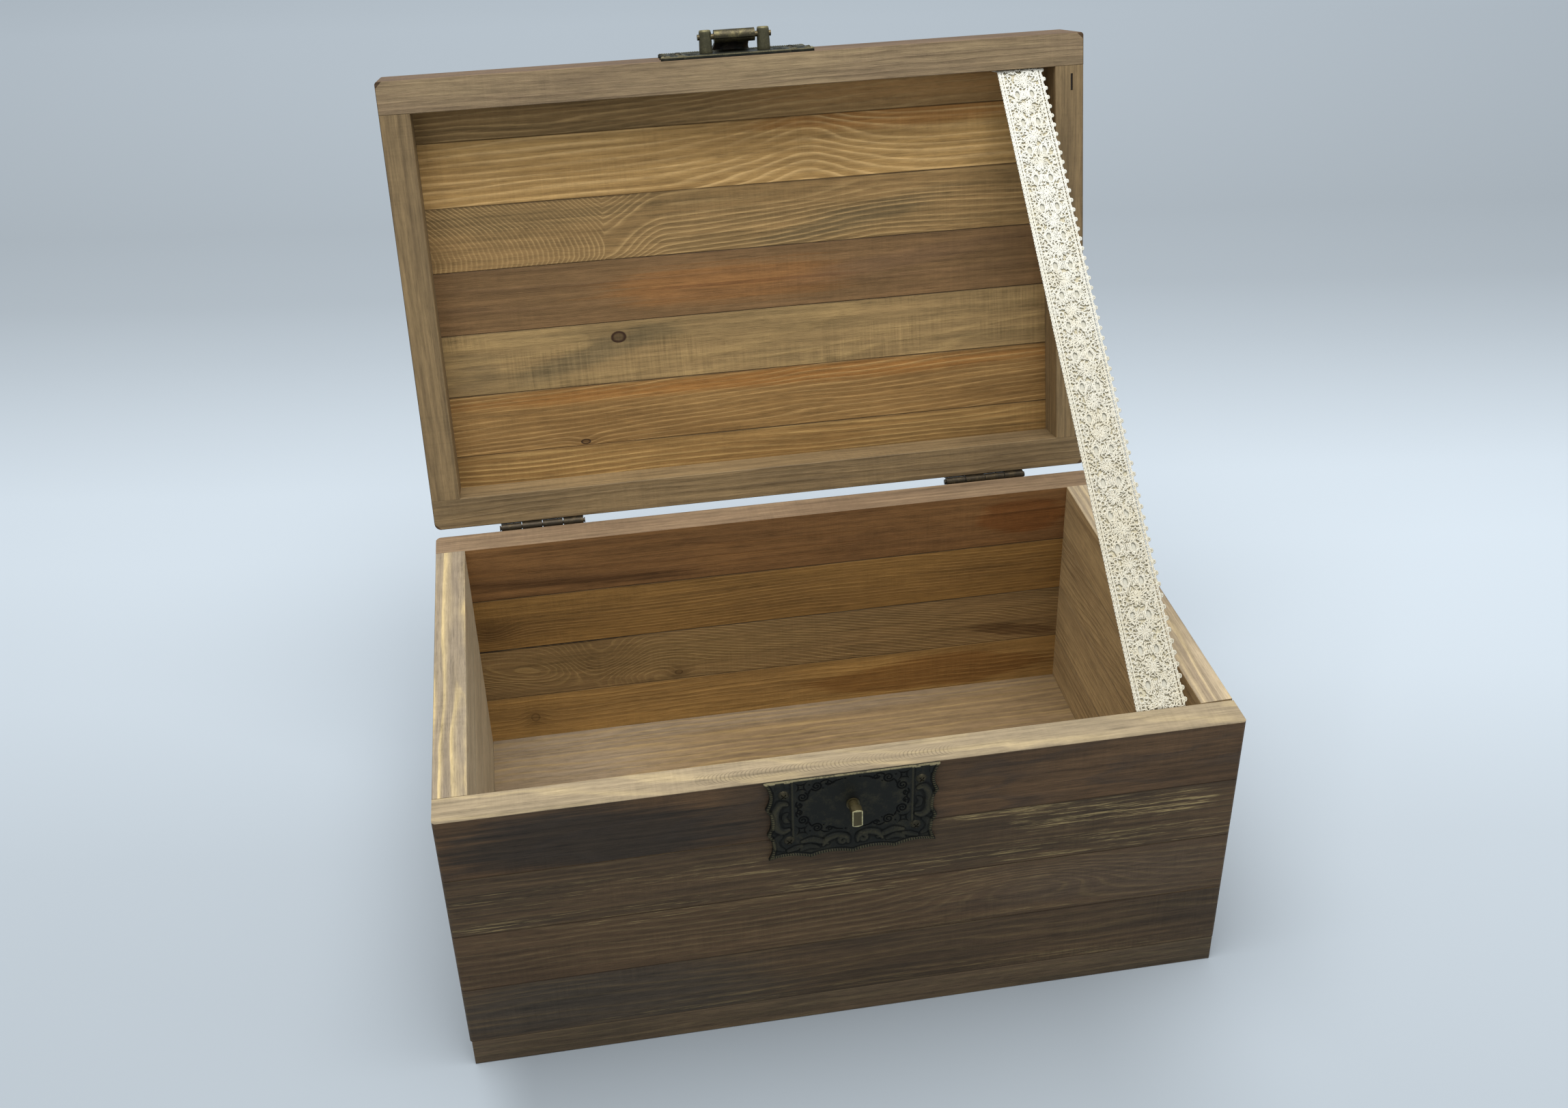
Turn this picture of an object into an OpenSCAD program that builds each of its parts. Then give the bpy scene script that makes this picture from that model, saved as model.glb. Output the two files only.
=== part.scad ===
// Wooden card box: edge-glued pine planks, hinged lid held open by a lace
// ribbon, and a cast two-part latch with a slotted hasp and a turn post.
// Origin: middle of the underside. +X right, +Y back, +Z up. The lid stands open.

/* [Box] */
// Outside length of the box, left to right
box_w = 300; // [240:1:360]
// Outside depth of the box, front to back
box_d = 194; // [160:1:240]
// Height of the box without its lid
box_h = 123; // [105:1:160]
// Thickness of the front and back boards
wall_t = 13.6; // [12:0.1:18]
// Thickness of the end boards
end_t = 12.6; // [11:0.1:18]
// Height of the base board's edge, under the walls
base_t = 12.3; // [9:0.1:18]
// Height of the step that locates the walls on the base board
base_step = 3.7; // [2:0.1:6]
// Bevel on the long arrises of every plank
ease = 0.25; // [0.2:0.05:0.6]
// Rounding of the upright corners; the worn back left one has twice as much
corner_r = 1.5; // [0.5:0.1:3]
// Open joint at the front end of the top right plank, at its outer face
open_joint = 0.9; // [0.3:0.1:1.5]

/* [Lid] */
// Height of the lid's rails
rail_h = 17; // [15:0.5:24]
// Thickness of the lid's front and back rails
rail_t = 13.6; // [12:0.1:18]
// Thickness of the lid's end rails
rail_end_t = 12.6; // [11:0.1:18]
// Thickness of the lid's top planks
top_t = 12; // [10:0.1:16]
// How far the ribbon lets the lid open, in degrees
lid_open = 102.5; // [98:0.5:108]

/* [Hinges] */
// Length of a hinge
hinge_l = 37; // [30:0.5:44]
// Distance from the end of the box to the middle of a hinge
hinge_in = 47.5; // [40:0.5:70]
// Height of a hinge leaf, measured from the pin
leaf_h = 12.5; // [12:0.1:15]
// Thickness of a hinge leaf
leaf_t = 0.9; // [0.7:0.05:1.1]
// Outside radius of a knuckle
knuckle_r = 1.9; // [1.7:0.05:2.2]
// Radius of the hinge pin
hinge_pin_r = 0.8; // [0.6:0.05:0.95]

/* [Latch] */
// Width of both latch plates at the joint between lid and box
plate_w = 65; // [60:0.5:70]
// Height of the plate on the box
plate_h = 36.5; // [35:0.5:39]
// Height of the plate on the lid
keeper_h = 24; // [22:0.5:26]
// Thickness of the plates
plate_t = 1.4; // [1.2:0.1:1.6]
// Height of the hasp's pin above the lower edge of the lid's plate
hasp_v = 9.5; // [8.5:0.1:11]
// Height of the hasp's pin above the face of the plates
hasp_lift = 6.6; // [6.2:0.1:7]
// Thickness of the hasp
hasp_t = 1.2; // [1:0.05:1.4]
// Radius of the rolled eye of the hasp
eye_r = 2.7; // [2.5:0.05:2.9]
// Radius of the hasp's pin
hasp_pin_r = 1.2; // [1:0.05:1.3]
// Distance from the hasp's pin to the middle of its slot
slot_reach = 23.2; // [22:0.1:24]
// Width of the turn post's head
head_w = 3.8; // [3.4:0.1:4]
// Length of the turn post's head
head_l = 7.4; // [6.8:0.1:7.8]
// Radius of the latch screws' heads
screw_head_r = 2; // [1.8:0.1:2.3]

/* [Ribbon] */
// Width of the lace ribbon
ribbon_w = 20; // [16:0.5:24]
// Thickness of the lace ribbon
ribbon_t = 0.8; // [0.6:0.1:1.2]
// Gap between the ribbon and the right end board
ribbon_side_gap = 4.9; // [3:0.1:10]

/* [Hidden] */
$fn = 48;
eps = 0.01;

// Planks
WALL_ROWS = 4;
LID_ROWS = 7;
row_h = (box_h - base_t) / WALL_ROWS;
lid_row_d = box_d / LID_ROWS;
end_l = box_d - 2 * wall_t;
rail_end_l = box_d - 2 * rail_t;
inner_w = box_w - 2 * end_t;
step_gap = 0.1;
base_inset = 0.7;
front_in = -box_d / 2 + wall_t;
rail_in = -box_d / 2 + rail_t;

// Brads and nails
brad_r = 0.7;
brad_l = 28;
brad_sunk = 1.5;
nail_r = 0.9;
nail_l = 26;
nail_head_r = 1.8;
nail_head_h = 0.7;
nail_sunk = 0.3;
pilot_gap = 0.06;

// Staple that holds the right end rail
staple_w = 7;
staple_t = 0.9;
staple_l = 22;
staple_sunk = 0.6;
staple_from_rail = 3.4;

// Hinges
hinge_gap = 0.3;
hinge_x = box_w / 2 - hinge_in;
hinge_y = box_d / 2 + knuckle_r + hinge_gap;
KNUCKLES = 4;
knuckle_l = hinge_l / KNUCKLES;
knuckle_gap = 0.15;
pin_gap = 0.05;
hinge_screw_in = 7;
hinge_screw_z = 8;
hinge_screw_r = 1.1;
hinge_head_r = 1.9;
hinge_screw_l = 9;
screw_clear = 0.15;

// Latch
plate_face = -box_d / 2 - plate_t;
hasp_y = plate_face - hasp_lift;
hasp_z = box_h + hasp_v;
post_z = hasp_z - slot_reach;
post_v = box_h - post_z;
hasp_fold = 205.5;
border = 1.5;
bead_pitch = 1.2;
bead_h = 0.45;
relief_h = 0.55;
engrave = 0.35;
boss_r = 2.65;
boss_x = 12.35;
boss_h = 11;
eye_l = 17.3;
hasp_pin_gap = 0.07;
seam_gap = 0.35;
slot_w = head_w + 1.1;
slot_l = head_l + 1.6;
hasp_tip = 9.5;
neck_r = 1.9;
collar_r = 2.5;
collar_h = 0.6;
post_gap = 0.1;
head_gap = 0.4;
head_t = 3.4;
tail_r = 1.5;
tail_gap = 0.06;
washer_r = 2.9;
washer_t = 0.8;
recess_r = 3.6;
recess_h = 2;
latch_screw_r = 1.2;
latch_screw_l = 10;
// Screw places on the plates: across, and up or down from the straight edge
latch_screws = [[25.5, 6.1], [23.8, 27.9]];
keeper_screws = [[24.2, 13.5]];

// Ribbon and its tacks
ribbon_gap = 0.3;
ribbon_x = box_w / 2 - end_t - ribbon_side_gap - ribbon_w / 2;
ribbon_drop = 0.5;
ribbon_rise = 1.9;
ribbon_tab = 11;
tack_r = 0.6;
tack_l = 9;
tack_head_r = 2.1;
tack_head_h = 1.1;
tack_in = 5.2;
tack_along = 6;

// ---------------------------------------------------------------- placing

// Turns what is drawn for the closed lid to the open lid
module opened() {
    translate([0, hinge_y, box_h])
        rotate([-lid_open, 0, 0])
            translate([0, -hinge_y, -box_h])
                children();
}

// Turns what is drawn for the hanging hasp to the hasp laid back over the lid
module folded() {
    translate([0, hasp_y, hasp_z])
        rotate([-hasp_fold, 0, 0])
            translate([0, -hasp_y, -hasp_z])
                children();
}

// Turns a flat latch piece drawn in XY to stand on the front face, z outwards
module on_front(z, up) {
    translate([0, -box_d / 2, z])
        rotate([90, 0, 0])
            mirror([0, up ? 0 : 1, 0])
                children();
}

function opened_yz(y, z) = [
    hinge_y + (y - hinge_y) * cos(lid_open) + (z - box_h) * sin(lid_open),
    box_h - (y - hinge_y) * sin(lid_open) + (z - box_h) * cos(lid_open)
];

// ---------------------------------------------------------------- timber

// Section of a plank with bevelled arrises, drawn from its corner
module section(a, b) {
    polygon([
        [ease, 0], [a - ease, 0], [a, ease], [a, b - ease],
        [a - ease, b], [ease, b], [0, b - ease], [0, ease]
    ]);
}

// Plank that runs along X, from its lower left front corner
module plank_x(l, d, h) {
    rotate([90, 0, 90])
        linear_extrude(height = l)
            section(d, h);
}

// Plank that runs along Y
module plank_y(w, l, h) {
    translate([0, l, 0])
        rotate([90, 0, 0])
            linear_extrude(height = l)
                section(w, h);
}

// What the rounding takes off the upright corners of the shut box
module corner_waste() {
    top = box_h + rail_h + top_t + 1;
    for (x = [-1, 1]) {
        for (y = [-1, 1]) {
            r = x < 0 && y > 0 ? 2 * corner_r : corner_r;
            translate([x * (box_w / 2 - r), y * (box_d / 2 - r), 0])
                difference() {
                    translate([x < 0 ? -r - 1 : 0, y < 0 ? -r - 1 : 0, 0])
                        cube([r + 1, r + 1, top]);
                    translate([0, 0, -1]) cylinder(r = r, h = top + 2);
                }
        }
    }
}

// Wedge that leaves the joint of the top right plank open
module joint_waste() {
    y = -end_l / 2;
    x = box_w / 2;
    translate([0, 0, box_h - row_h - eps])
        linear_extrude(height = row_h + 1)
            polygon([
                [x - end_t - 1, y - 1], [x + 1, y - 1],
                [x + 1, y + open_joint], [x - end_t - 1, y + open_joint / 4]
            ]);
}

// The brads of one row of wall planks, driven in from the front and the back
module brads_of_row(row, gap = 0) {
    for (side = [-1, 1]) {
        for (face = [-1, 1]) {
            translate([
                side * (box_w - end_t) / 2,
                face * (box_d / 2 - brad_sunk),
                base_t + (row - 0.5) * row_h
            ])
                rotate([face * 90, 0, 0])
                    cylinder(r = brad_r + gap, h = brad_l);
        }
    }
}

// The nails driven up through the base board
module nails(gap = 0) {
    for (x = [-0.42, -0.14, 0.14, 0.42]) {
        for (face = [-1, 1]) {
            nail_at(x * box_w, face * (box_d - wall_t) / 2, gap);
        }
    }
    for (side = [-1, 1]) {
        nail_at(side * (box_w - end_t) / 2, 0, gap);
    }
}

module nail_at(x, y, gap) {
    translate([x, y, nail_sunk]) {
        cylinder(r = nail_r + gap, h = nail_l);
        cylinder(r = nail_head_r + gap, h = nail_head_h);
    }
    if (gap > 0) {
        translate([x, y, -eps])
            cylinder(r = nail_head_r + gap, h = nail_sunk + 2 * eps);
    }
}

module base_board() {
    color("saddlebrown")
        difference() {
            union() {
                translate([-box_w / 2 + base_inset, -box_d / 2, 0])
                    plank_x(box_w - 2 * base_inset, box_d, base_t);
                translate([
                    -inner_w / 2 + step_gap,
                    -end_l / 2 + step_gap,
                    base_t / 2
                ])
                    cube([
                        inner_w - 2 * step_gap,
                        end_l - 2 * step_gap,
                        base_t / 2 + base_step
                    ]);
            }
            nails(pilot_gap);
        }
}

module base_nails() {
    color("dimgray") nails();
}

module wall_brads() {
    color("dimgray")
        for (row = [1:WALL_ROWS]) {
            brads_of_row(row);
        }
}

// A plank of the front (face -1) or back (face 1) wall
module long_wall_plank(row, face) {
    color(row % 2 == 0 ? "sienna" : "saddlebrown")
        difference() {
            translate([
                -box_w / 2,
                face < 0 ? -box_d / 2 : box_d / 2 - wall_t,
                base_t + (row - 1) * row_h
            ])
                plank_x(box_w, wall_t, row_h);
            corner_waste();
            brads_of_row(row, pilot_gap);
            if (row == 1) {
                nails(pilot_gap);
            }
            if (row >= 3 && face < 0) {
                latch_screw_set(screw_clear);
                post_recess();
                ribbon_tack_set(pilot_gap);
            }
            if (row >= 3 && face > 0) {
                hinge_screw_set(pilot_gap);
            }
        }
}

// A plank of the left (side -1) or right (side 1) wall
module end_wall_plank(row, side) {
    color(row % 2 == 0 ? "saddlebrown" : "sienna")
        difference() {
            translate([
                side < 0 ? -box_w / 2 : box_w / 2 - end_t,
                -end_l / 2,
                base_t + (row - 1) * row_h
            ])
                plank_y(end_t, end_l, row_h);
            brads_of_row(row, pilot_gap);
            if (row == 1) {
                nails(pilot_gap);
            }
            if (row == WALL_ROWS && side > 0) {
                joint_waste();
            }
        }
}

// The hole behind the latch plate that clears the turn post's rivet
module post_recess() {
    translate([0, -box_d / 2 - eps, post_z])
        rotate([-90, 0, 0])
            cylinder(r = recess_r, h = recess_h + eps);
}

// ---------------------------------------------------------------- lid timber

// The brads that hold the top planks on the rails, for the closed lid
module brads_of_lid(row, gap = 0) {
    for (side = [-1, 1]) {
        translate([
            side * (box_w - rail_end_t) / 2,
            -box_d / 2 + (row - 0.5) * lid_row_d,
            box_h + rail_h + top_t - brad_sunk - brad_l + 6
        ])
            cylinder(r = brad_r + gap, h = brad_l - 6);
    }
}

// The staple in the right end rail, for the closed lid
module staple(gap = 0) {
    translate([
        box_w / 2 - rail_end_t / 2 + 1.1,
        rail_in + staple_from_rail,
        box_h + staple_sunk
    ]) {
        translate([-staple_t / 2 - gap, -gap, -gap - (gap > 0 ? staple_sunk : 0)])
            cube([
                staple_t + 2 * gap,
                staple_w + 2 * gap,
                staple_t + gap + (gap > 0 ? staple_sunk : 0)
            ]);
        for (y = [0, staple_w - staple_t]) {
            translate([-staple_t / 2 - gap, y - gap, 0])
                cube([staple_t + 2 * gap, staple_t + 2 * gap, staple_l + gap]);
        }
    }
}

// A top plank; row 1 is at the front of the closed lid
module lid_plank(row) {
    color(row % 2 == 0 ? "peru" : "sienna")
        opened()
            difference() {
                translate([
                    -box_w / 2,
                    -box_d / 2 + (row - 1) * lid_row_d,
                    box_h + rail_h
                ])
                    plank_x(box_w, lid_row_d, top_t);
                corner_waste();
                brads_of_lid(row, pilot_gap);
                if (row == 1) {
                    staple(pilot_gap);
                    keeper_screw_set(screw_clear);
                }
            }
}

// The front (face -1) or back (face 1) rail
module lid_long_rail(face) {
    color("burlywood")
        opened()
            difference() {
                translate([
                    -box_w / 2,
                    face < 0 ? -box_d / 2 : box_d / 2 - rail_t,
                    box_h
                ])
                    plank_x(box_w, rail_t, rail_h);
                corner_waste();
                for (row = [1, LID_ROWS]) {
                    brads_of_lid(row, pilot_gap);
                }
                if (face < 0) {
                    keeper_screw_set(screw_clear);
                    lid_tack_set(pilot_gap);
                } else {
                    lid_hinge_screw_set(pilot_gap);
                }
            }
}

// The left (side -1) or right (side 1) rail
module lid_end_rail(side) {
    color("tan")
        opened()
            difference() {
                translate([
                    side < 0 ? -box_w / 2 : box_w / 2 - rail_end_t,
                    -rail_end_l / 2,
                    box_h
                ])
                    plank_y(rail_end_t, rail_end_l, rail_h);
                for (row = [1:LID_ROWS]) {
                    brads_of_lid(row, pilot_gap);
                }
                if (side > 0) {
                    staple(pilot_gap);
                }
            }
}

module lid_brads() {
    color("dimgray")
        opened()
            for (row = [1:LID_ROWS]) {
                brads_of_lid(row);
            }
}

module lid_staple() {
    color("dimgray") opened() staple();
}

// ---------------------------------------------------------------- screws

// Round-headed screw along -Z with its head's seat at z = 0
module screw(head_r, shank_r, l) {
    head_h = head_r * 0.5;
    ball_r = (head_r * head_r + head_h * head_h) / (2 * head_h);
    difference() {
        union() {
            intersection() {
                translate([0, 0, head_h - ball_r]) sphere(r = ball_r);
                cylinder(r = head_r, h = head_h);
            }
            translate([0, 0, shank_r - l]) cylinder(r = shank_r, h = l - shank_r + eps);
            translate([0, 0, -l]) cylinder(r1 = 0.2, r2 = shank_r, h = shank_r);
        }
        for (turn = [45, 135]) {
            rotate([0, 0, turn])
                translate([-head_r * 0.6, -0.25, head_h * 0.45])
                    cube([head_r * 1.2, 0.5, head_h]);
        }
    }
}

// The hole that a screw needs
module screw_hole(shank_r, l, gap) {
    translate([0, 0, -l - gap]) cylinder(r = shank_r + gap, h = l + gap + eps);
}

// ---------------------------------------------------------------- hinges

// Places the two screws of one leaf of each hinge, head outwards, on the back
module hinge_screw_places(z) {
    for (side = [-1, 1]) {
        for (end = [-1, 1]) {
            translate([
                side * hinge_x + end * (hinge_l / 2 - hinge_screw_in),
                box_d / 2 + leaf_t,
                z
            ])
                rotate([-90, 0, 0])
                    children();
        }
    }
}

module hinge_screw_set(gap) {
    hinge_screw_places(box_h - hinge_screw_z)
        screw_hole(hinge_screw_r, hinge_screw_l, gap);
}

module lid_hinge_screw_set(gap) {
    hinge_screw_places(box_h + hinge_screw_z)
        screw_hole(hinge_screw_r, hinge_screw_l, gap);
}

module hinge_box_screws() {
    color("darkgoldenrod")
        hinge_screw_places(box_h - hinge_screw_z)
            screw(hinge_head_r, hinge_screw_r, hinge_screw_l);
}

module hinge_lid_screws() {
    color("darkgoldenrod")
        opened()
            hinge_screw_places(box_h + hinge_screw_z)
                screw(hinge_head_r, hinge_screw_r, hinge_screw_l);
}

// Leaf that hangs below the pin and holds the knuckles first, first + 2, ...
module hinge_leaf(first) {
    slack_z = box_h - knuckle_r - hinge_gap;
    difference() {
        union() {
            translate([-hinge_l / 2, box_d / 2, box_h - leaf_h])
                cube([hinge_l, leaf_t, slack_z - box_h + leaf_h]);
            for (i = [first:2:KNUCKLES - 1]) {
                x = -hinge_l / 2 + i * knuckle_l + knuckle_gap;
                w = knuckle_l - 2 * knuckle_gap;
                translate([x, box_d / 2, slack_z - eps])
                    cube([w, leaf_t, box_h - hinge_gap - slack_z + eps]);
                translate([x, hinge_y, box_h])
                    rotate([0, 90, 0])
                        cylinder(r = knuckle_r, h = w);
            }
        }
        translate([-hinge_l / 2 - 1, hinge_y, box_h])
            rotate([0, 90, 0])
                cylinder(r = hinge_pin_r + pin_gap, h = hinge_l + 2);
        for (end = [-1, 1]) {
            translate([
                end * (hinge_l / 2 - hinge_screw_in),
                box_d / 2 - 1,
                box_h - hinge_screw_z
            ])
                rotate([-90, 0, 0])
                    cylinder(r = hinge_screw_r + screw_clear, h = leaf_t + 2);
        }
    }
}

module hinge_box_leaf(side) {
    color("darkslategray")
        translate([side * hinge_x, 0, 0])
            hinge_leaf(0);
}

module hinge_lid_leaf(side) {
    color("darkolivegreen")
        opened()
            translate([side * hinge_x, 0, 2 * box_h])
                mirror([0, 0, 1])
                    hinge_leaf(1);
}

// Pin with a low round head at each end
module hinge_pin(side) {
    color("darkgoldenrod")
        translate([side * hinge_x - hinge_l / 2, hinge_y, box_h])
            rotate([0, 90, 0]) {
                cylinder(r = hinge_pin_r, h = hinge_l);
                for (z = [-0.6, hinge_l + 0.1]) {
                    translate([0, 0, z]) cylinder(r = hinge_pin_r * 1.5, h = 0.5);
                }
                translate([0, 0, -0.2]) cylinder(r = hinge_pin_r, h = hinge_l + 0.4);
            }
}

// ---------------------------------------------------------------- ornament

// Corner points of a latch plate: scallops meet at them. The straight edge is
// on y = 0 and the shaped edge at y = h; the left half runs up, the right down.
function plate_nodes(w, h, sides, bays, far_in, cusp) = concat(
    [for (i = [0:sides]) [-w / 2 + far_in * i / sides, h * i / sides]],
    [for (i = [1:bays - 1]) [(w / 2 - far_in) * (2 * i / bays - 1), h + cusp]],
    [for (i = [sides:-1:0]) [w / 2 - far_in * i / sides, h * i / sides]]
);

// Point at t on the hollow scallop between two corners
function scallop(p, q, depth, t) =
    let (d = q - p) p + d * t + [d.y, -d.x] / norm(d) * depth * 4 * t * (1 - t);

function scalloped(nodes, depth, n) = concat(
    [for (k = [0:len(nodes) - 2]) each
        [for (i = [0:n - 1]) scallop(nodes[k], nodes[k + 1], depth, i / n)]],
    [nodes[len(nodes) - 1]]
);

// Rope border: short bars across the edge, all along the scallops
module beads(nodes, depth) {
    for (k = [0:len(nodes) - 2]) {
        p = nodes[k];
        q = nodes[k + 1];
        n = round(norm(q - p) / bead_pitch);
        for (i = [0:n - 1]) {
            a = scallop(p, q, depth, i / n);
            b = scallop(p, q, depth, (i + 1) / n);
            m = (a + b) / 2;
            translate([m.x, m.y, plate_t - eps])
                rotate([0, 0, atan2(b.y - a.y, b.x - a.x)])
                    translate([-bead_pitch * 0.3, -border, 0])
                        cube([bead_pitch * 0.6, border - 0.1, bead_h + eps]);
        }
    }
}

// Spiral band that winds in from radius r0 to r1 while its width goes w0 to w1
module volute(r0, r1, sweep, w0, w1) {
    n = 22;
    r = [for (i = [0:n]) r0 * pow(r1 / r0, i / n)];
    w = [for (i = [0:n]) w0 + (w1 - w0) * i / n];
    polygon(concat(
        [for (i = [0:n]) (r[i] + w[i] / 2) * [cos(sweep * i / n), sin(sweep * i / n)]],
        [for (i = [n:-1:0]) (r[i] - w[i] / 2) * [cos(sweep * i / n), sin(sweep * i / n)]]
    ));
    circle(r = r1, $fn = 16);
}

// Four-pointed star with hollow sides
module star(r) {
    polygon([for (a = [0:15:345])
        let (k = abs(sin(2 * a))) r * (1 - 0.62 * pow(k, 0.6)) * [cos(a), sin(a)]]);
}

// Tapered leaf from the origin along +X
module lobe(l, w) {
    polygon(concat(
        [for (i = [0:8]) [l * i / 8, w * pow(sin(180 * pow(i / 8, 0.7)), 0.8)]],
        [for (i = [7:-1:1]) [l * i / 8, -w * 0.35 * sin(180 * i / 8)]]
    ));
}

// Scrolls engraved in one corner of the plain field, corner at the origin
module corner_scrolls() {
    translate([2.6, 2.5]) rotate(45) star(2.2);
    translate([7.6, 2.6]) rotate(160) volute(1.75, 0.3, 560, 0.4, 0.3);
    translate([2.6, 7.1]) rotate(-70) mirror([0, 1]) volute(1.75, 0.3, 560, 0.4, 0.3);
    translate([11.3, 1.7]) rotate(150) volute(0.95, 0.25, 420, 0.35, 0.25);
    translate([1.7, 10.4]) rotate(-60) mirror([0, 1]) volute(0.85, 0.25, 420, 0.35, 0.25);
    translate([12.6, 1.6]) lobe(3.2, 0.45);
}

// Leaf scroll of a side band, drawn for the left side, up from the origin
module side_leaf(h) {
    translate([0.4, h * 0.62]) rotate(60) volute(h * 0.3, h * 0.1, 200, 1.3, 0.8);
    translate([0.2, h * 0.30]) rotate(120) volute(h * 0.24, h * 0.08, 230, 1.5, 0.7);
    translate([1.4, h * 0.42]) rotate(35) lobe(h * 0.30, 1.1);
}

// Leaf scrolls of the shaped edge, drawn for the left half, from the middle out
module edge_leaf(w) {
    translate([-w * 0.10, 0.4]) rotate(-30) volute(w * 0.085, w * 0.03, 300, 1.2, 0.9);
    translate([-w * 0.17, 2.0]) rotate(190) lobe(w * 0.22, 1.3);
    translate([-w * 0.21, -1.2]) rotate(165) lobe(w * 0.17, 1.0);
    translate([-w * 0.36, 0.2]) rotate(20) volute(w * 0.05, w * 0.02, 270, 1.0, 0.7);
}

// Cast plate with a rope border, a plain field and leaf relief round it
module ornate_plate(h, sides, field_h) {
    depth = 1.9;
    nodes = plate_nodes(plate_w, h, sides, 4, 0.9, 0.8);
    field_x = plate_w / 2 - 10.4;
    difference() {
        union() {
            linear_extrude(height = plate_t)
                polygon(scalloped(nodes, depth, 8));
            intersection() {
                beads(nodes, depth);
                translate([-plate_w, 0, 0]) cube([2 * plate_w, 2 * h, 2 * plate_t]);
            }
            for (side = [-1, 1]) {
                translate([side * (field_x + 0.4) - 0.4, 0, plate_t - eps])
                    cube([0.8, field_h, bead_h + eps]);
            }
        }
        translate([0, 0, plate_t - engrave])
            linear_extrude(height = 1)
                for (side = [0, 1]) {
                    mirror([side, 0])
                        translate([-field_x, 0]) {
                            translate([0.2, 0.3]) corner_scrolls();
                            translate([0.2, field_h - 0.2])
                                mirror([0, 1])
                                    corner_scrolls();
                        }
                }
    }
    translate([0, 0, plate_t - eps])
        linear_extrude(height = relief_h + eps)
            for (side = [0, 1]) {
                mirror([side, 0]) {
                    translate([-plate_w / 2 + 6.2, field_h * 0.28])
                        side_leaf(field_h * 0.62);
                    translate([0, (field_h + h) / 2 - 0.3])
                        edge_leaf(plate_w - 12);
                }
            }
}

// ---------------------------------------------------------------- latch

// Places screws on a plate that starts at the lid joint; dir is -1 down, 1 up
module plate_screw_places(places, dir) {
    for (p = places) {
        for (side = [-1, 1]) {
            translate([side * p.x, plate_face, box_h + dir * p.y])
                rotate([90, 0, 0])
                    children();
        }
    }
}

module latch_screw_set(gap) {
    plate_screw_places(latch_screws, -1)
        screw_hole(latch_screw_r, latch_screw_l, gap);
}

module keeper_screw_set(gap) {
    plate_screw_places(keeper_screws, 1)
        screw_hole(latch_screw_r, latch_screw_l, gap);
}

// Round pads that clear the relief under the screw heads
module screw_pads(places) {
    for (p = places) {
        for (side = [-1, 1]) {
            translate([side * p.x, p.y, 0])
                children();
        }
    }
}

module latch_plate() {
    color("darkslategray")
        difference() {
            on_front(box_h, false)
                difference() {
                    ornate_plate(plate_h, 3, plate_h - 9.5);
                    screw_pads(latch_screws)
                        translate([0, 0, plate_t])
                            cylinder(r = screw_head_r + 0.3, h = 2);
                    translate([0, post_v, plate_t])
                        cylinder(r = head_l / 2 + 1, h = 2);
                }
            plate_screw_places(latch_screws, -1)
                screw_hole(latch_screw_r, latch_screw_l, screw_clear);
            translate([0, -box_d / 2 + 1, post_z])
                rotate([90, 0, 0])
                    cylinder(r = tail_r + tail_gap, h = plate_t + 2);
        }
}

module latch_plate_screws() {
    color("darkgoldenrod")
        plate_screw_places(latch_screws, -1)
            screw(screw_head_r, latch_screw_r, latch_screw_l);
}

// Turn post, drawn along +Z from the plate's face, long side of the head on Y
module post_shape() {
    lift = hasp_lift - eye_r + hasp_t + head_gap;
    translate([0, 0, post_gap]) cylinder(r = collar_r, h = collar_h);
    translate([0, 0, post_gap]) cylinder(r = neck_r, h = lift - post_gap + eps);
    translate([0, 0, lift])
        intersection() {
            translate([-head_w / 2, -head_l / 2, 0]) cube([head_w, head_l, head_t]);
            cylinder(r = head_l / 2, h = head_t);
        }
    translate([0, 0, -plate_t - post_gap - washer_t])
        cylinder(r = tail_r, h = plate_t + 2 * post_gap + washer_t + eps);
}

module turn_post() {
    color("olive")
        translate([0, plate_face, post_z])
            rotate([90, 0, 0])
                post_shape();
}

module turn_post_washer() {
    color("dimgray")
        translate([0, -box_d / 2 + post_gap, post_z])
            rotate([-90, 0, 0])
                difference() {
                    cylinder(r = washer_r, h = washer_t);
                    translate([0, 0, -1]) cylinder(r = tail_r + 0.02, h = washer_t + 2);
                }
}

module keeper_plate() {
    color("darkslategray")
        opened()
            difference() {
                union() {
                    on_front(box_h, true)
                        difference() {
                            ornate_plate(keeper_h, 2, keeper_h - 6.5);
                            screw_pads(keeper_screws)
                                translate([0, 0, plate_t])
                                    cylinder(r = screw_head_r + 0.3, h = 2);
                        }
                    for (side = [-1, 1]) {
                        translate([side * boss_x, plate_face + eps, hasp_z])
                            rotate([90, 0, 0])
                                cylinder(r = boss_r, h = boss_h + eps);
                    }
                }
                plate_screw_places(keeper_screws, 1)
                    screw_hole(latch_screw_r, latch_screw_l, screw_clear);
                translate([-plate_w / 2, hasp_y, hasp_z])
                    rotate([0, 90, 0])
                        cylinder(r = hasp_pin_r + hasp_pin_gap, h = plate_w);
            }
}

module keeper_plate_screws() {
    color("darkgoldenrod")
        opened()
            plate_screw_places(keeper_screws, 1)
                screw(screw_head_r, latch_screw_r, latch_screw_l);
}

module hasp_pin() {
    l = 2 * (boss_x + boss_r) + 1.4;
    color("olive")
        opened()
            translate([-l / 2, hasp_y, hasp_z])
                rotate([0, 90, 0])
                    cylinder(r = hasp_pin_r, h = l);
}

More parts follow.
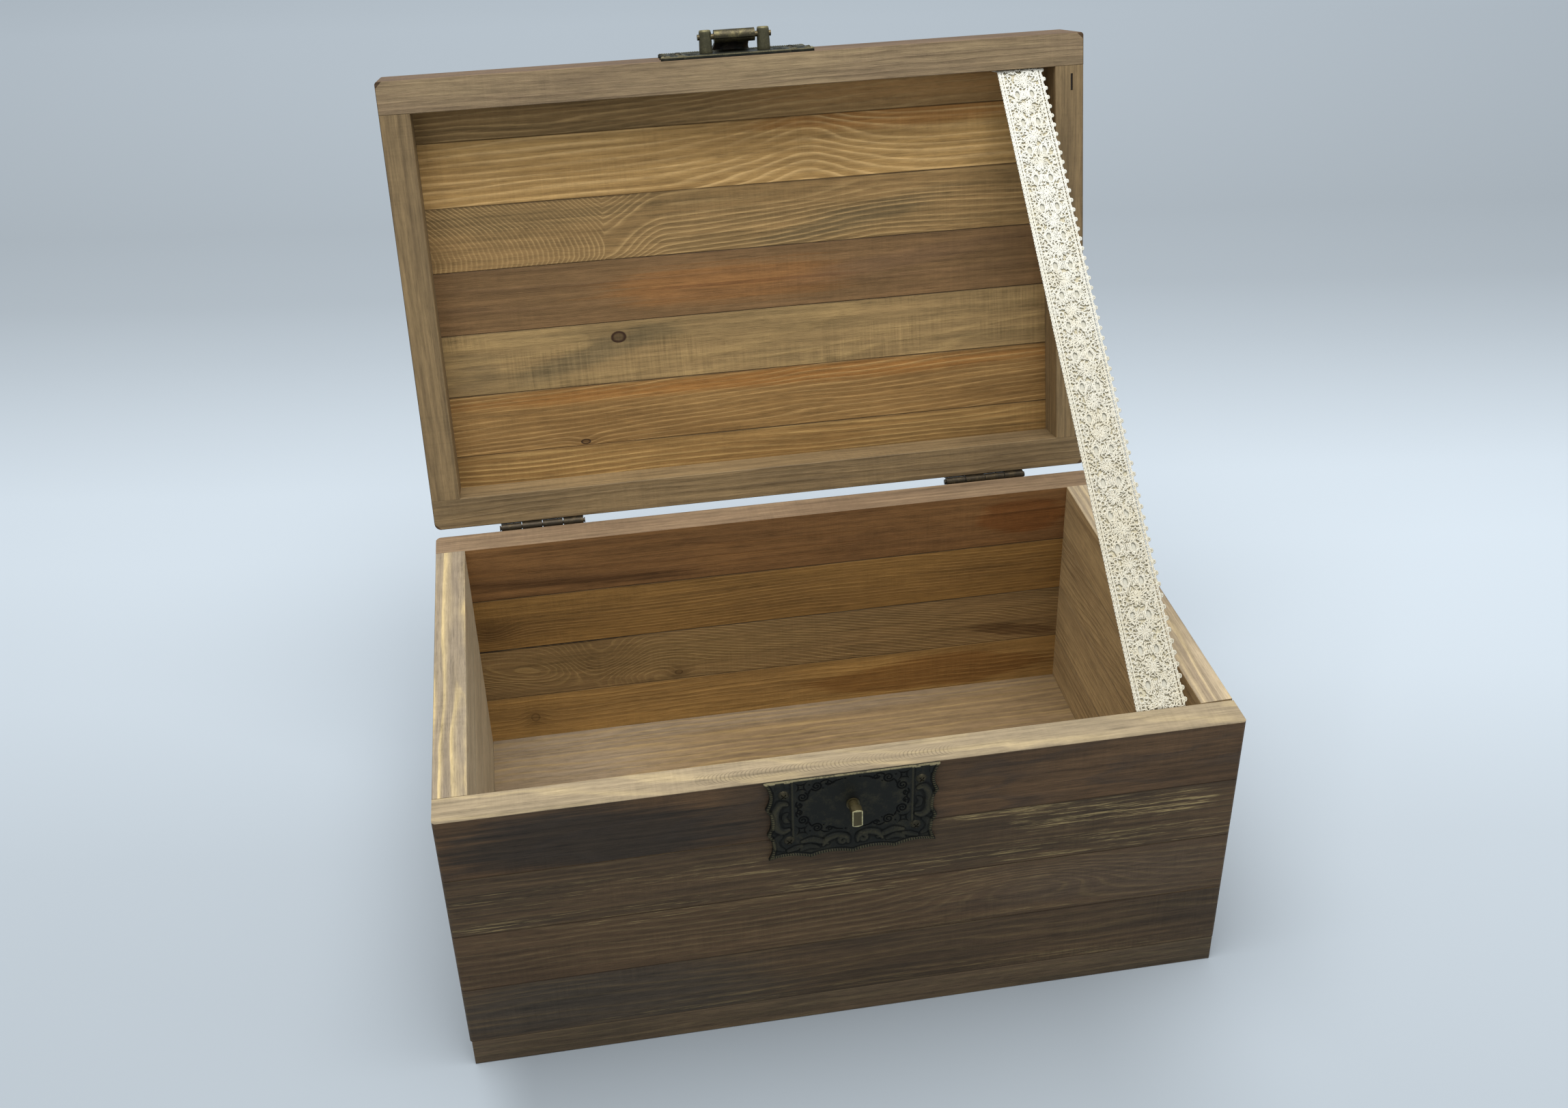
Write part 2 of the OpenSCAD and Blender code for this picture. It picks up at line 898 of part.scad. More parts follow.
// Outline of the hasp, down from its eye: waisted, then a pointed shield
module hasp_outline() {
    l = slot_reach + hasp_tip;
    side = [
        for (i = [0:14])
            let (t = i / 14)
            [eye_l / 2 * (1 - 0.16 * sin(180 * t) + 0.16 * pow(t, 3)), -t * (l - 7)]
    ];
    tip = [
        for (i = [1:8])
            let (t = i / 8)
            [eye_l / 2 * (1 - t) * (1 + 0.5 * sin(180 * t)), -(l - 7) - 7 * pow(t, 1.3)]
    ];
    right = concat(side, tip);
    left = [for (i = [len(right) - 2:-1:0]) [-right[i].x, right[i].y]];
    polygon(concat(right, left));
}

module hasp() {
    color("darkolivegreen")
        opened()
            folded()
                difference() {
                    union() {
                        translate([0, hasp_y + eye_r, hasp_z])
                            rotate([90, 0, 0])
                                linear_extrude(height = hasp_t)
                                    hasp_outline();
                        translate([-eye_l / 2, hasp_y, hasp_z])
                            rotate([0, 90, 0])
                                cylinder(r = eye_r, h = eye_l);
                        translate([0, hasp_y + eye_r - hasp_t + eps, hasp_z])
                            rotate([90, 0, 0])
                                linear_extrude(height = 0.4)
                                    for (side = [0, 1]) {
                                        mirror([side, 0])
                                            translate([-3.6, -8.5])
                                                rotate(-120)
                                                    volute(2.9, 0.7, 400, 0.9, 0.6);
                                    }
                    }
                    translate([-eye_l, hasp_y, hasp_z])
                        rotate([0, 90, 0])
                            cylinder(r = hasp_pin_r + hasp_pin_gap, h = 2 * eye_l);
                    translate([-eye_l, hasp_y, hasp_z])
                        rotate([130, 0, 0])
                            cube([2 * eye_l, eye_r + 1, seam_gap]);
                    translate([0, hasp_y + eye_r + 1, hasp_z - slot_reach])
                        rotate([90, 0, 0])
                            linear_extrude(height = hasp_t + 3)
                                slot_outline();
                }
}

// Slot with round ends
module slot_outline() {
    square([slot_w, slot_l - slot_w], center = true);
    for (end = [-1, 1]) {
        translate([0, end * (slot_l - slot_w) / 2]) circle(d = slot_w);
    }
}

// ---------------------------------------------------------------- ribbon

// The three straight runs: tab on the box wall, free stretch, tab on the lid rail
off = ribbon_gap + ribbon_t / 2;
box_tab_end = [front_in + off, box_h - ribbon_drop - ribbon_tab];
box_tab_top = [front_in + off, box_h - ribbon_drop];
lid_tab_top = opened_yz(rail_in + off, box_h + ribbon_rise);
lid_tab_end = opened_yz(rail_in + off, box_h + ribbon_rise + ribbon_tab);
route = [box_tab_end, box_tab_top, lid_tab_top, lid_tab_end];

// Side step at a point of the route, square to the runs that meet there
function square_to(p, q) = [p.y - q.y, q.x - p.x] / norm(q - p);
function mitre(m, n) = (m + n) / (1 + m * n);

// Places the tacks of one tab on an inner front face, heads inwards
module tack_places(y, z) {
    for (side = [-1, 1]) {
        translate([ribbon_x + side * tack_in, y + ribbon_gap + ribbon_t, z])
            rotate([-90, 0, 0])
                children();
    }
}

module tack() {
    translate([0, 0, -tack_l]) cylinder(r = tack_r, h = tack_l + eps);
    intersection() {
        translate([0, 0, tack_head_h - tack_head_r * 1.6])
            sphere(r = tack_head_r * 1.6);
        cylinder(r = tack_head_r, h = tack_head_h);
    }
}

module tack_hole(gap) {
    translate([0, 0, -tack_l - gap]) cylinder(r = tack_r + gap, h = tack_l + gap + 1);
}

module ribbon_tack_set(gap) {
    tack_places(front_in, box_h - ribbon_drop - tack_along) tack_hole(gap);
}

module lid_tack_set(gap) {
    tack_places(rail_in, box_h + ribbon_rise + tack_along) tack_hole(gap);
}

module lace_ribbon() {
    run = [for (i = [0:2]) square_to(route[i], route[i + 1])];
    step = [run[0], mitre(run[0], run[1]), mitre(run[1], run[2]), run[2]] * ribbon_t / 2;
    color("ivory")
        difference() {
            translate([ribbon_x - ribbon_w / 2, 0, 0])
                rotate([90, 0, 90])
                    linear_extrude(height = ribbon_w)
                        polygon(concat(
                            [for (i = [0:3]) route[i] + step[i]],
                            [for (i = [3:-1:0]) route[i] - step[i]]
                        ));
            ribbon_tack_set(pilot_gap);
            opened() lid_tack_set(pilot_gap);
        }
}

module ribbon_box_tacks() {
    color("goldenrod")
        tack_places(front_in, box_h - ribbon_drop - tack_along) tack();
}

module ribbon_lid_tacks() {
    color("goldenrod")
        opened()
            tack_places(rail_in, box_h + ribbon_rise + tack_along) tack();
}

// ---------------------------------------------------------------- assembly

base_board();
long_wall_plank(1, -1);  // front_plank_1
long_wall_plank(2, -1);  // front_plank_2
long_wall_plank(3, -1);  // front_plank_3
long_wall_plank(4, -1);  // front_plank_4
long_wall_plank(1, 1);  // back_plank_1
long_wall_plank(2, 1);  // back_plank_2
long_wall_plank(3, 1);  // back_plank_3
long_wall_plank(4, 1);  // back_plank_4
end_wall_plank(1, -1);  // left_plank_1
end_wall_plank(2, -1);  // left_plank_2
end_wall_plank(3, -1);  // left_plank_3
end_wall_plank(4, -1);  // left_plank_4
end_wall_plank(1, 1);  // right_plank_1
end_wall_plank(2, 1);  // right_plank_2
end_wall_plank(3, 1);  // right_plank_3
end_wall_plank(4, 1);  // right_plank_4
wall_brads();
base_nails();
lid_long_rail(-1);  // lid_front_rail
lid_long_rail(1);  // lid_back_rail
lid_end_rail(-1);  // lid_left_rail
lid_end_rail(1);  // lid_right_rail
lid_plank(1);  // lid_plank_1
lid_plank(2);  // lid_plank_2
lid_plank(3);  // lid_plank_3
lid_plank(4);  // lid_plank_4
lid_plank(5);  // lid_plank_5
lid_plank(6);  // lid_plank_6
lid_plank(7);  // lid_plank_7
lid_brads();
lid_staple();
hinge_box_leaf(-1);  // left_hinge_box_leaf
hinge_lid_leaf(-1);  // left_hinge_lid_leaf
hinge_pin(-1);  // left_hinge_pin
hinge_box_leaf(1);  // right_hinge_box_leaf
hinge_lid_leaf(1);  // right_hinge_lid_leaf
hinge_pin(1);  // right_hinge_pin
hinge_box_screws();
hinge_lid_screws();
latch_plate();
latch_plate_screws();
turn_post();
turn_post_washer();
keeper_plate();
keeper_plate_screws();
hasp_pin();
hasp();
lace_ribbon();
ribbon_box_tacks();
ribbon_lid_tacks();
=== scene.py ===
import math
import random

import bmesh
import bpy
import numpy as np
from mathutils import Matrix, Vector, noise


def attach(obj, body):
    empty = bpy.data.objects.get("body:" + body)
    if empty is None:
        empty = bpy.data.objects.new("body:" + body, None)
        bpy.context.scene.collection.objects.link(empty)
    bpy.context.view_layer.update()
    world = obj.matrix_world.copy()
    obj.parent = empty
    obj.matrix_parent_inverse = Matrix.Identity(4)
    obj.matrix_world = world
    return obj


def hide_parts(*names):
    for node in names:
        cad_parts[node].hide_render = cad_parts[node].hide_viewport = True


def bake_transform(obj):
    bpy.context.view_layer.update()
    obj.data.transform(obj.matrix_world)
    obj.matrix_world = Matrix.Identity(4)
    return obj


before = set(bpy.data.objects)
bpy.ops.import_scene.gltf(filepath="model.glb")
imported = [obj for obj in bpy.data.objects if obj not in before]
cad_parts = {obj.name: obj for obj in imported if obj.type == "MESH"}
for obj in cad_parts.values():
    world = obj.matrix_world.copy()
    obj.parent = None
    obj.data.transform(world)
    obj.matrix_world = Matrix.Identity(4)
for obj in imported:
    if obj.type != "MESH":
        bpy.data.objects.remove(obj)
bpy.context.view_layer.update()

print("frame loaded")

# a wooden card box that stands open; lengths are millimetres, places are those of the shut box
boxShape = {"width": 300.0, "depth": 194.0, "height": 123.0, "wall": 13.6, "end": 12.6, "base": 12.3,
            "rows": 4, "corner": 2.6, "baseInset": 0.7}
lidShape = {"rail": 17.0, "top": 12.0, "rows": 7, "open": 102.5, "hinge": (99.2, 123.0)}
halfWidth, halfDepth = boxShape["width"] / 2, boxShape["depth"] / 2


def paint(red, green, blue):
    # a colour as a paint program shows it, turned into the sockets' linear values
    return tuple(((c / 255 + 0.055) / 1.055) ** 2.4 if c > 10.3 else c / 255 / 12.92
                 for c in (red, green, blue)) + (1.0,)


def opened(y, z):
    # a point of the shut lid, where it is with the lid open
    turn = math.radians(lidShape["open"])
    hingeY, hingeZ = lidShape["hinge"]
    y, z = y - hingeY, z - hingeZ
    return (hingeY + y * math.cos(turn) + z * math.sin(turn),
            hingeZ - y * math.sin(turn) + z * math.cos(turn))


def addToScene(thing):
    bpy.context.scene.collection.objects.link(thing)
    return thing


def setMaterial(node, material):
    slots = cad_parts[node].data.materials
    slots.clear()
    slots.append(material)


def piece(name, mesh, material, body=None, node=None):
    # a finished bmesh in millimetres becomes an object of the model, in metres
    bmesh.ops.scale(mesh, vec=(0.001,) * 3, verts=mesh.verts)
    data = bpy.data.meshes.new(name)
    mesh.to_mesh(data)
    mesh.free()
    for polygon in data.polygons:
        polygon.use_smooth = True
    data.materials.append(material)
    made = addToScene(bpy.data.objects.new(name, data))
    if node:
        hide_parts(node)
    if body:
        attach(made, body)
    return made


class Wire:
    # one socket; arithmetic on it adds Math nodes
    def __init__(self, brush, socket):
        self.brush = brush
        self.socket = socket

    def maths(self, kind, *others):
        return self.brush.node("ShaderNodeMath", {"operation": kind}, dict(enumerate((self,) + others)))

    def __add__(self, other):
        return self.maths("ADD", other)

    def __sub__(self, other):
        return self.maths("SUBTRACT", other)

    def __rsub__(self, other):
        return (self * -1.0) + other

    def __mul__(self, other):
        return self.maths("MULTIPLY", other)

    def __pow__(self, other):
        return self.maths("POWER", other)

    def __abs__(self):
        return self.maths("ABSOLUTE")

    __radd__ = __add__
    __rmul__ = __mul__


class Brush:
    # fills the node tree of a material or of the world
    def __init__(self, owner):
        self.owner = owner
        owner.use_nodes = True
        self.tree = owner.node_tree
        self.tree.nodes.clear()

    def node(self, kind, settings=None, inputs=None, output=0):
        made = self.tree.nodes.new(kind)
        for key, value in (settings or {}).items():
            if key == "stops":
                ramp = made.color_ramp
                for position, level in value[1:-1]:
                    ramp.elements.new(position)
                for stop, (position, level) in zip(ramp.elements, value):
                    stop.position = position
                    stop.color = (level, level, level, 1.0)
            else:
                setattr(made, key, value)
        for key, value in (inputs or {}).items():
            if isinstance(value, Wire):
                self.tree.links.new(value.socket, made.inputs[key])
            else:
                made.inputs[key].default_value = value
        return Wire(self, made.outputs[output]) if made.outputs else None

    def mix(self, factor, first, second):
        return self.node("ShaderNodeMix", {"data_type": "RGBA"}, {0: factor, 6: first, 7: second}, 2)

    def scaled(self, colour, factor):
        return self.node("ShaderNodeVectorMath", {"operation": "SCALE"}, {0: colour, 3: factor})

    def step(self, value, low, high, start=0.0, end=1.0):
        return self.node("ShaderNodeMapRange", {"interpolation_type": "SMOOTHSTEP"},
                         {0: value, 1: low, 2: high, 3: start, 4: end})

    def point(self, x, y, z):
        return self.node("ShaderNodeCombineXYZ", None, {0: x, 1: y, 2: z})

    def noise(self, spot, stretch=(1, 1, 1), detail=2.0, rough=0.5, shift=(0, 0, 0)):
        moved = self.node("ShaderNodeMapping", None, {0: spot, 1: shift, 3: stretch})
        return self.node("ShaderNodeTexNoise", None,
                         {"Vector": moved, "Scale": 1.0, "Detail": detail, "Roughness": rough})

    def axes(self, spot):
        outputs = self.node("ShaderNodeSeparateXYZ", None, {0: spot}).socket.node.outputs
        return [Wire(self, outputs[i]) for i in range(3)]

    def inBox(self, lid=False):
        # the place on a piece, in millimetres of the shut box
        turn, shift = 0.0, (0.0, 0.0, 0.0)
        if lid:
            turn = math.radians(lidShape["open"])
            y, z = lidShape["hinge"]
            shift = (0.0, y - (y * math.cos(turn) - z * math.sin(turn)),
                     z - (y * math.sin(turn) + z * math.cos(turn)))
        return self.node("ShaderNodeMapping", None,
                         {0: self.node("ShaderNodeTexCoord", output=3), 1: shift, 2: (turn, 0.0, 0.0),
                          3: (1000.0,) * 3})

    def finish(self, inputs, bumps=None):
        if bumps is not None:
            inputs["Normal"] = self.node("ShaderNodeBump", None,
                                         {"Strength": 1.0, "Distance": 0.001, "Height": bumps})
        shader = self.node("ShaderNodeBsdfPrincipled", None, inputs)
        self.node("ShaderNodeOutputMaterial", None, {0: shader})
        return self.owner


def newBrush(name):
    return Brush(bpy.data.materials.new(name))


def hill(value, middle, wide):
    # 1 at the middle, fading out on both sides
    return (((value - middle) * (1.0 / wide)) ** 2.0 * -1.0).maths("EXPONENT")


# each stain: soft wood, hard wood, ring line, and how strongly the lines show
stains = {
    "walnut": ((64, 52, 39), (84, 66, 47), (114, 94, 61), 0.35),
    "plinth": ((73, 62, 48), (95, 78, 58), (129, 111, 74), 0.35),
    "walnutWarm": ((74, 57, 40), (96, 73, 50), (56, 47, 39), 0.5),
    "walnutEye": ((74, 57, 40), (90, 70, 49), (118, 98, 66), 0.5),
    "rim": ((137, 123, 99), (150, 134, 108), (170, 152, 117), 0.8),
    "rimPale": ((140, 124, 102), (175, 158, 130), (205, 183, 141), 0.9),
    "rimGrey": ((128, 115, 98), (149, 135, 113), (202, 180, 132), 1.0),
    "rimRed": ((116, 95, 73), (135, 113, 88), (145, 123, 95), 0.4),
    # the lid's front face: its walnut stain made paler by a painted highlight of the light from above
    "lidFront": ((92, 73, 55), (110, 89, 67), (124, 103, 77), 0.4),
    "honey": ((132, 100, 57), (156, 122, 73), (186, 152, 96), 0.8),
    "straw": ((148, 115, 68), (175, 140, 86), (209, 172, 115), 0.85),
    "olive": ((122, 98, 62), (145, 115, 73), (181, 149, 99), 0.8),
    "oat": ((138, 115, 77), (154, 127, 85), (177, 148, 98), 0.5),
    "russet": ((115, 89, 58), (130, 100, 66), (98, 74, 51), 0.35),
    "amber": ((131, 99, 57), (151, 117, 70), (182, 146, 93), 0.8),
    "inside": ((126, 96, 56), (146, 112, 63), (176, 138, 82), 0.6),
    "insideGold": ((153, 121, 74), (177, 140, 83), (192, 153, 91), 0.5),
    "insideRed": ((120, 88, 56), (140, 103, 63), (98, 70, 46), 0.45),
    "insideGrey": ((120, 99, 68), (143, 116, 78), (174, 146, 96), 0.6),
    "insidePale": ((161, 137, 100), (185, 159, 115), (129, 104, 73), 0.5),
    "insideChalk": ((180, 167, 140), (202, 189, 160), (166, 142, 116), 0.4),
    "smoke": ((118, 99, 71), (139, 117, 83), (95, 78, 56), 0.4),
    "smokePale": ((128, 109, 84), (150, 130, 98), (102, 83, 62), 0.4),
    "floor": ((116, 95, 69), (135, 113, 82), (165, 139, 91), 0.5),
}
# how each pattern stretches along and across the grain, its detail, roughness and shift
woodPatterns = {
    "slow": ((0.008, 0.03), 2.0, 0.5, (0, 0, 0)),
    "sway": ((0.03, 0.09), 3.0, 0.5, (9, 4, 2)),
    "drift": ((0.004, 0.09), 2.0, 0.5, (3, 8, 5)),
    "fade": ((0.012, 0.13), 3.0, 0.6, (5, 1, 7)),
    "fibre": ((0.13, 2.6), 5.0, 0.72, (0, 0, 0)),
    "streak": ((0.009, 0.7), 4.0, 0.65, (2, 6, 1)),
    "cloud": ((0.012, 0.05), 3.0, 0.55, (7, 3, 4)),
    "mottle": ((0.12, 0.3), 3.0, 0.6, (1, 2, 8)),
    "dash": ((0.3, 4.2), 2.0, 0.6, (8, 8, 1)),
    "chatter": ((0.85, 0.035), 2.0, 0.6, (6, 2, 3)),
    "chatterSpot": ((0.015, 0.05), 2.0, 0.5, (4, 9, 3)),
    "smear": ((0.02, 0.32), 4.0, 0.65, (5, 5, 9)),
}
# how strongly the patterns show in the finished wood, and two colours that every board shares
woodLook = {"light": 1.06, "fibre": 0.9, "fibreOutside": 0.6, "streak": 0.95, "mottle": 0.45, "smear": 0.16,
            "pore": 0.12, "dash": 0.16, "knot": (58, 38, 24), "dirt": (40, 29, 20)}
# a ring from the soft early wood to the dark late wood
ringStops = [(0.0, 0.12), (0.35, 0.0), (0.62, 0.35), (0.8, 1.0), (0.92, 0.75), (1.0, 0.05)]
# the axes that lie along, across and into a board
grainAxes = {"x": (0, 1, 2), "xz": (0, 2, 1), "yz": (1, 2, 0), "y": (1, 0, 2)}


class Wood:
    # one board: directions in millimetres from its own middle, and the patterns on it
    def __init__(self, brush, board):
        self.brush = brush
        self.xyz = brush.axes(brush.inBox(board.get("lid", False)))
        self.along, self.across, self.deep = [self.xyz[axis] - board["middle"][axis]
                                              for axis in grainAxes[board["grain"]]]
        seed = board["seed"]
        self.local = brush.point(self.along + 137.0 * seed, self.across + 31.0 * seed,
                                 self.deep - 17.0 * seed)
        for key, pattern in woodPatterns.items():
            setattr(self, key, self.pattern(*pattern))

    def pattern(self, stretch, detail, rough, shift):
        along, across = stretch
        return self.brush.noise(self.local, (along, across, across), detail, rough, shift)


def ringRadius(wood, board):
    # how far each point is from the pith, which lies beside or under the board
    pithAcross, pithDeep = board.get("pith", (40.0, 30.0))
    leanAcross, leanDeep = board.get("lean", (0.0, 0.0))
    wobble = board.get("wobble", 5.0)
    across = wood.across - pithAcross + wood.along * leanAcross + (wood.slow - 0.5) * (3.0 * wobble)
    for low, high, rise in board.get("shifts", ()):
        across = across + wood.brush.step(wood.along, low, high) * rise
    for middle, wide, high in board.get("humps", ()):
        across = across + hill(wood.along, middle, wide) * high
    deep = wood.deep - pithDeep + wood.along * leanDeep + (wood.sway - 0.5) * wobble
    radius = (across * across + deep * deep) ** 0.5
    for low, high, slope in board.get("slants", ()):
        radius = radius + wood.along.maths("MAXIMUM", float(low)).maths("MINIMUM", float(high)) * slope
    return radius + (wood.sway - 0.5) * board.get("shake", 1.2)


def addKnots(wood, knots, radius):
    # bends the rings round each knot, and gives the knots' own darkness
    brush, shade = wood.brush, None
    for spot in knots:
        size = spot["size"]
        far = ((wood.along - spot["at"][0]) * (1.0 / spot["long"])) ** 2.0 \
            + (wood.across - spot["at"][1]) ** 2.0
        pull = (far * (-1.0 / (size * 2.6) ** 2)).maths("EXPONENT")
        radius = radius + pull * (spot["push"] * size)
        reach = far ** 0.5 + (wood.sway - 0.5) * (0.9 * size)
        rim = brush.step(reach, size * 1.05, size * 0.85)
        heart = brush.step(reach, size * 0.45, size * 0.8, 0.62, 1.0)
        dark = (rim * heart * spot["dark"]).maths("MAXIMUM", pull * spot["halo"])
        shade = dark if shade is None else shade.maths("MAXIMUM", dark)
    return radius, shade


def faceMasks(wood, faces):
    # 1 on each stained face; the rounded upright corners belong to the first one
    reaches = [wood.xyz[face["axis"]] * face["way"] - face["start"] for face in faces]
    ends = {}
    for face, reach in zip(faces, reaches):
        axis = face["axis"]
        ends[axis] = ends[axis].maths("MAXIMUM", reach) if axis in ends else reach
    if 0 in ends and 1 in ends:
        reaches[0] = reaches[0].maths("MAXIMUM", ends[0] + ends[1] + boxShape["corner"])
    return [wood.brush.step(reach, -0.12, 0.12) for reach in reaches]


def stained(wood, board, masks, lines):
    # soft and hard wood and the ring lines, each face in its own stain, then the patches
    brush = wood.brush
    *colours, shown = stains[board["stain"]]
    colours = [paint(*colour) for colour in colours]
    shown = shown * board.get("lines", 1.0)
    outer, covered = masks[0], masks[0]
    for face, mask in zip(board["faces"], masks):
        *others, faceShown = stains[face["stain"]]
        colours = [brush.mix(mask, mine, paint(*theirs)) for mine, theirs in zip(colours, others)]
        shown = mask * (faceShown * face.get("lines", 1.0)) + (1.0 - mask) * shown
    for mask in masks[1:]:
        covered = covered.maths("MAXIMUM", mask)
    softWood, hardWood, line = colours
    amount = brush.step(wood.cloud * 0.75 + wood.streak * 0.35, 0.35, 0.75)
    colour = brush.mix(amount, softWood, hardWood)
    for spot in board.get("patches", ()):
        off = wood.along - spot["at"][0]
        far = (off * (1.0 / spot["size"][0])) ** 2.0 \
            + ((wood.across - spot["at"][1] + off * spot["lean"]) * (1.0 / spot["size"][1])) ** 2.0
        spread = far ** 0.5 + (wood.cloud - 0.5) * 1.2 + (wood.streak - 0.5) * spot["ragged"]
        mask = brush.step(spread, 1.0 + spot["blur"], 1.0 - spot["blur"]) * spot["strength"]
        mask = mask * (outer if spot["outside"] else 1.0 - covered)
        colour = brush.mix(mask, colour, paint(*spot["colour"]))
    return brush.mix((lines * shown).maths("MINIMUM", 1.0), colour, line), outer, covered


def rubThrough(wood, bands, colour, outer):
    # thin slivers where the stain has been rubbed off the outside
    brush = wood.brush
    for band in bands:
        sliver = brush.step(wood.pattern((0.03, 1.15), 4.0, 0.75, (4, 4, band["at"])),
                            band["low"], band["low"] + 0.07)
        region = hill(wood.across, band["at"], band["wide"]) \
            * brush.step(wood.along, band["start"] - 12.0, band["start"] + 12.0) \
            * brush.step(wood.along, band["stop"] + 12.0, band["stop"] - 12.0)
        reach = brush.step(region + (wood.mottle - 0.5) * 0.6, 0.25, 0.7)
        colour = brush.mix(sliver * reach * band["strength"] * outer, colour, paint(160, 140, 96))
    return colour


def cutterArcs(wood, arcs, colour, covered):
    # the small curved marks that a cutter left along the rim
    brush = wood.brush
    bow = (arcs["radius"] ** 2 - (wood.deep - arcs["deep"]) ** 2.0).maths("MAXIMUM", 0.0) ** 0.5
    wave = abs(((wood.along + bow) * (1.0 / arcs["pitch"])).maths("FRACT") - 0.5)
    run = brush.step(wood.along, arcs["start"], arcs["start"] + 8.0) \
        * brush.step(wood.along, arcs["stop"], arcs["stop"] - 8.0)
    cuts = brush.step(wave, 0.24, 0.1) * brush.step(bow, 0.2, 0.9) \
        * brush.step(wood.mottle, 0.35, 0.6, 0.2, 1.0)
    return brush.scaled(colour, 1.0 - cuts * run * arcs["strength"] * covered)


def timber(name, board):
    brush = newBrush(name)
    wood = Wood(brush, board)
    radius, shade = addKnots(wood, board.get("knots", ()), ringRadius(wood, board))
    rings = radius * (1.0 / board.get("pitch", 2.4)) + wood.drift * 2.2
    ringShape = brush.node("ShaderNodeValToRGB", {"stops": ringStops}, {0: rings.maths("FRACT")})
    # the lines fade in and out along the board
    lines = ringShape * (brush.step(wood.fade, 0.3, 0.62) * 0.8 + 0.2)
    colour, outer, covered = stained(wood, board, faceMasks(wood, board["faces"]), lines)
    colour = rubThrough(wood, board.get("rubbed", ()), colour, outer)
    # fine fibres, dark pores, smears of stain, and marks that the saw left across the board
    look = woodLook
    saw = (wood.chatter - 0.5) * brush.step(wood.chatterSpot, 0.42, 0.62) * board.get("saw", 0.25)
    if board.get("sawInside"):
        saw = saw * (1.0 - covered)
    grain = (wood.fibre - 0.5) * (outer * look["fibreOutside"] + look["fibre"]) \
        + (wood.streak - 0.5) * look["streak"] + (wood.mottle - 0.5) * look["mottle"] \
        - brush.step(wood.smear, 0.5, 0.66) * look["smear"] + look["light"]
    pores = brush.step(wood.fibre, 0.40, 0.28) * look["pore"]
    colour = brush.scaled(colour, grain + saw - pores - brush.step(wood.dash, 0.56, 0.7) * look["dash"])
    if "arcs" in board:
        colour = cutterArcs(wood, board["arcs"], colour, covered)
    # dirt in the seams
    toSeam = {"low": wood.across * -1.0, "high": wood.across, "both": abs(wood.across)}
    toSeam = toSeam[board.get("seams", "both")]
    seam = brush.step(toSeam + (wood.fibre - 0.5) * 0.7, board["half"] - 0.55, board["half"] - 0.1)
    dirt = seam * brush.step(wood.cloud + (wood.mottle - 0.5) * 0.5, 0.25, 0.6, 0.25, 1.0)
    colour = brush.mix(dirt * board.get("grime", 0.7), colour, paint(*look["dirt"]))
    if shade is not None:
        colour = brush.mix(shade, colour, paint(*look["knot"]))
    rough = 0.62 - lines * 0.12 + (wood.fibre - 0.5) * 0.2
    relief = lines * 0.1 + wood.fibre * 0.14 + saw * 0.3
    return brush.finish({"Base Color": colour, "Roughness": rough, "Specular IOR Level": 0.2}, relief)


def patch(at, size, colour, strength, blur=0.15, lean=0.0, ragged=1.0, outside=False):
    # a blot of another colour; its place and size are along and across the board
    return {"at": at, "size": size, "colour": colour, "strength": strength, "blur": blur, "lean": lean,
            "ragged": ragged, "outside": outside}


def knot(at, size, long=1.3, push=1.6, dark=1.0, halo=0.3):
    # long stretches it along the grain, and push says how far the rings swerve round it
    return {"at": at, "size": size, "long": long, "push": push, "dark": dark, "halo": halo}


def rubbed(at, wide, start, stop, strength, low=0.56):
    # a rubbed band across the board at one height; a smaller low lets more wood show
    return {"at": at, "wide": wide, "start": start, "stop": stop, "strength": strength, "low": low}


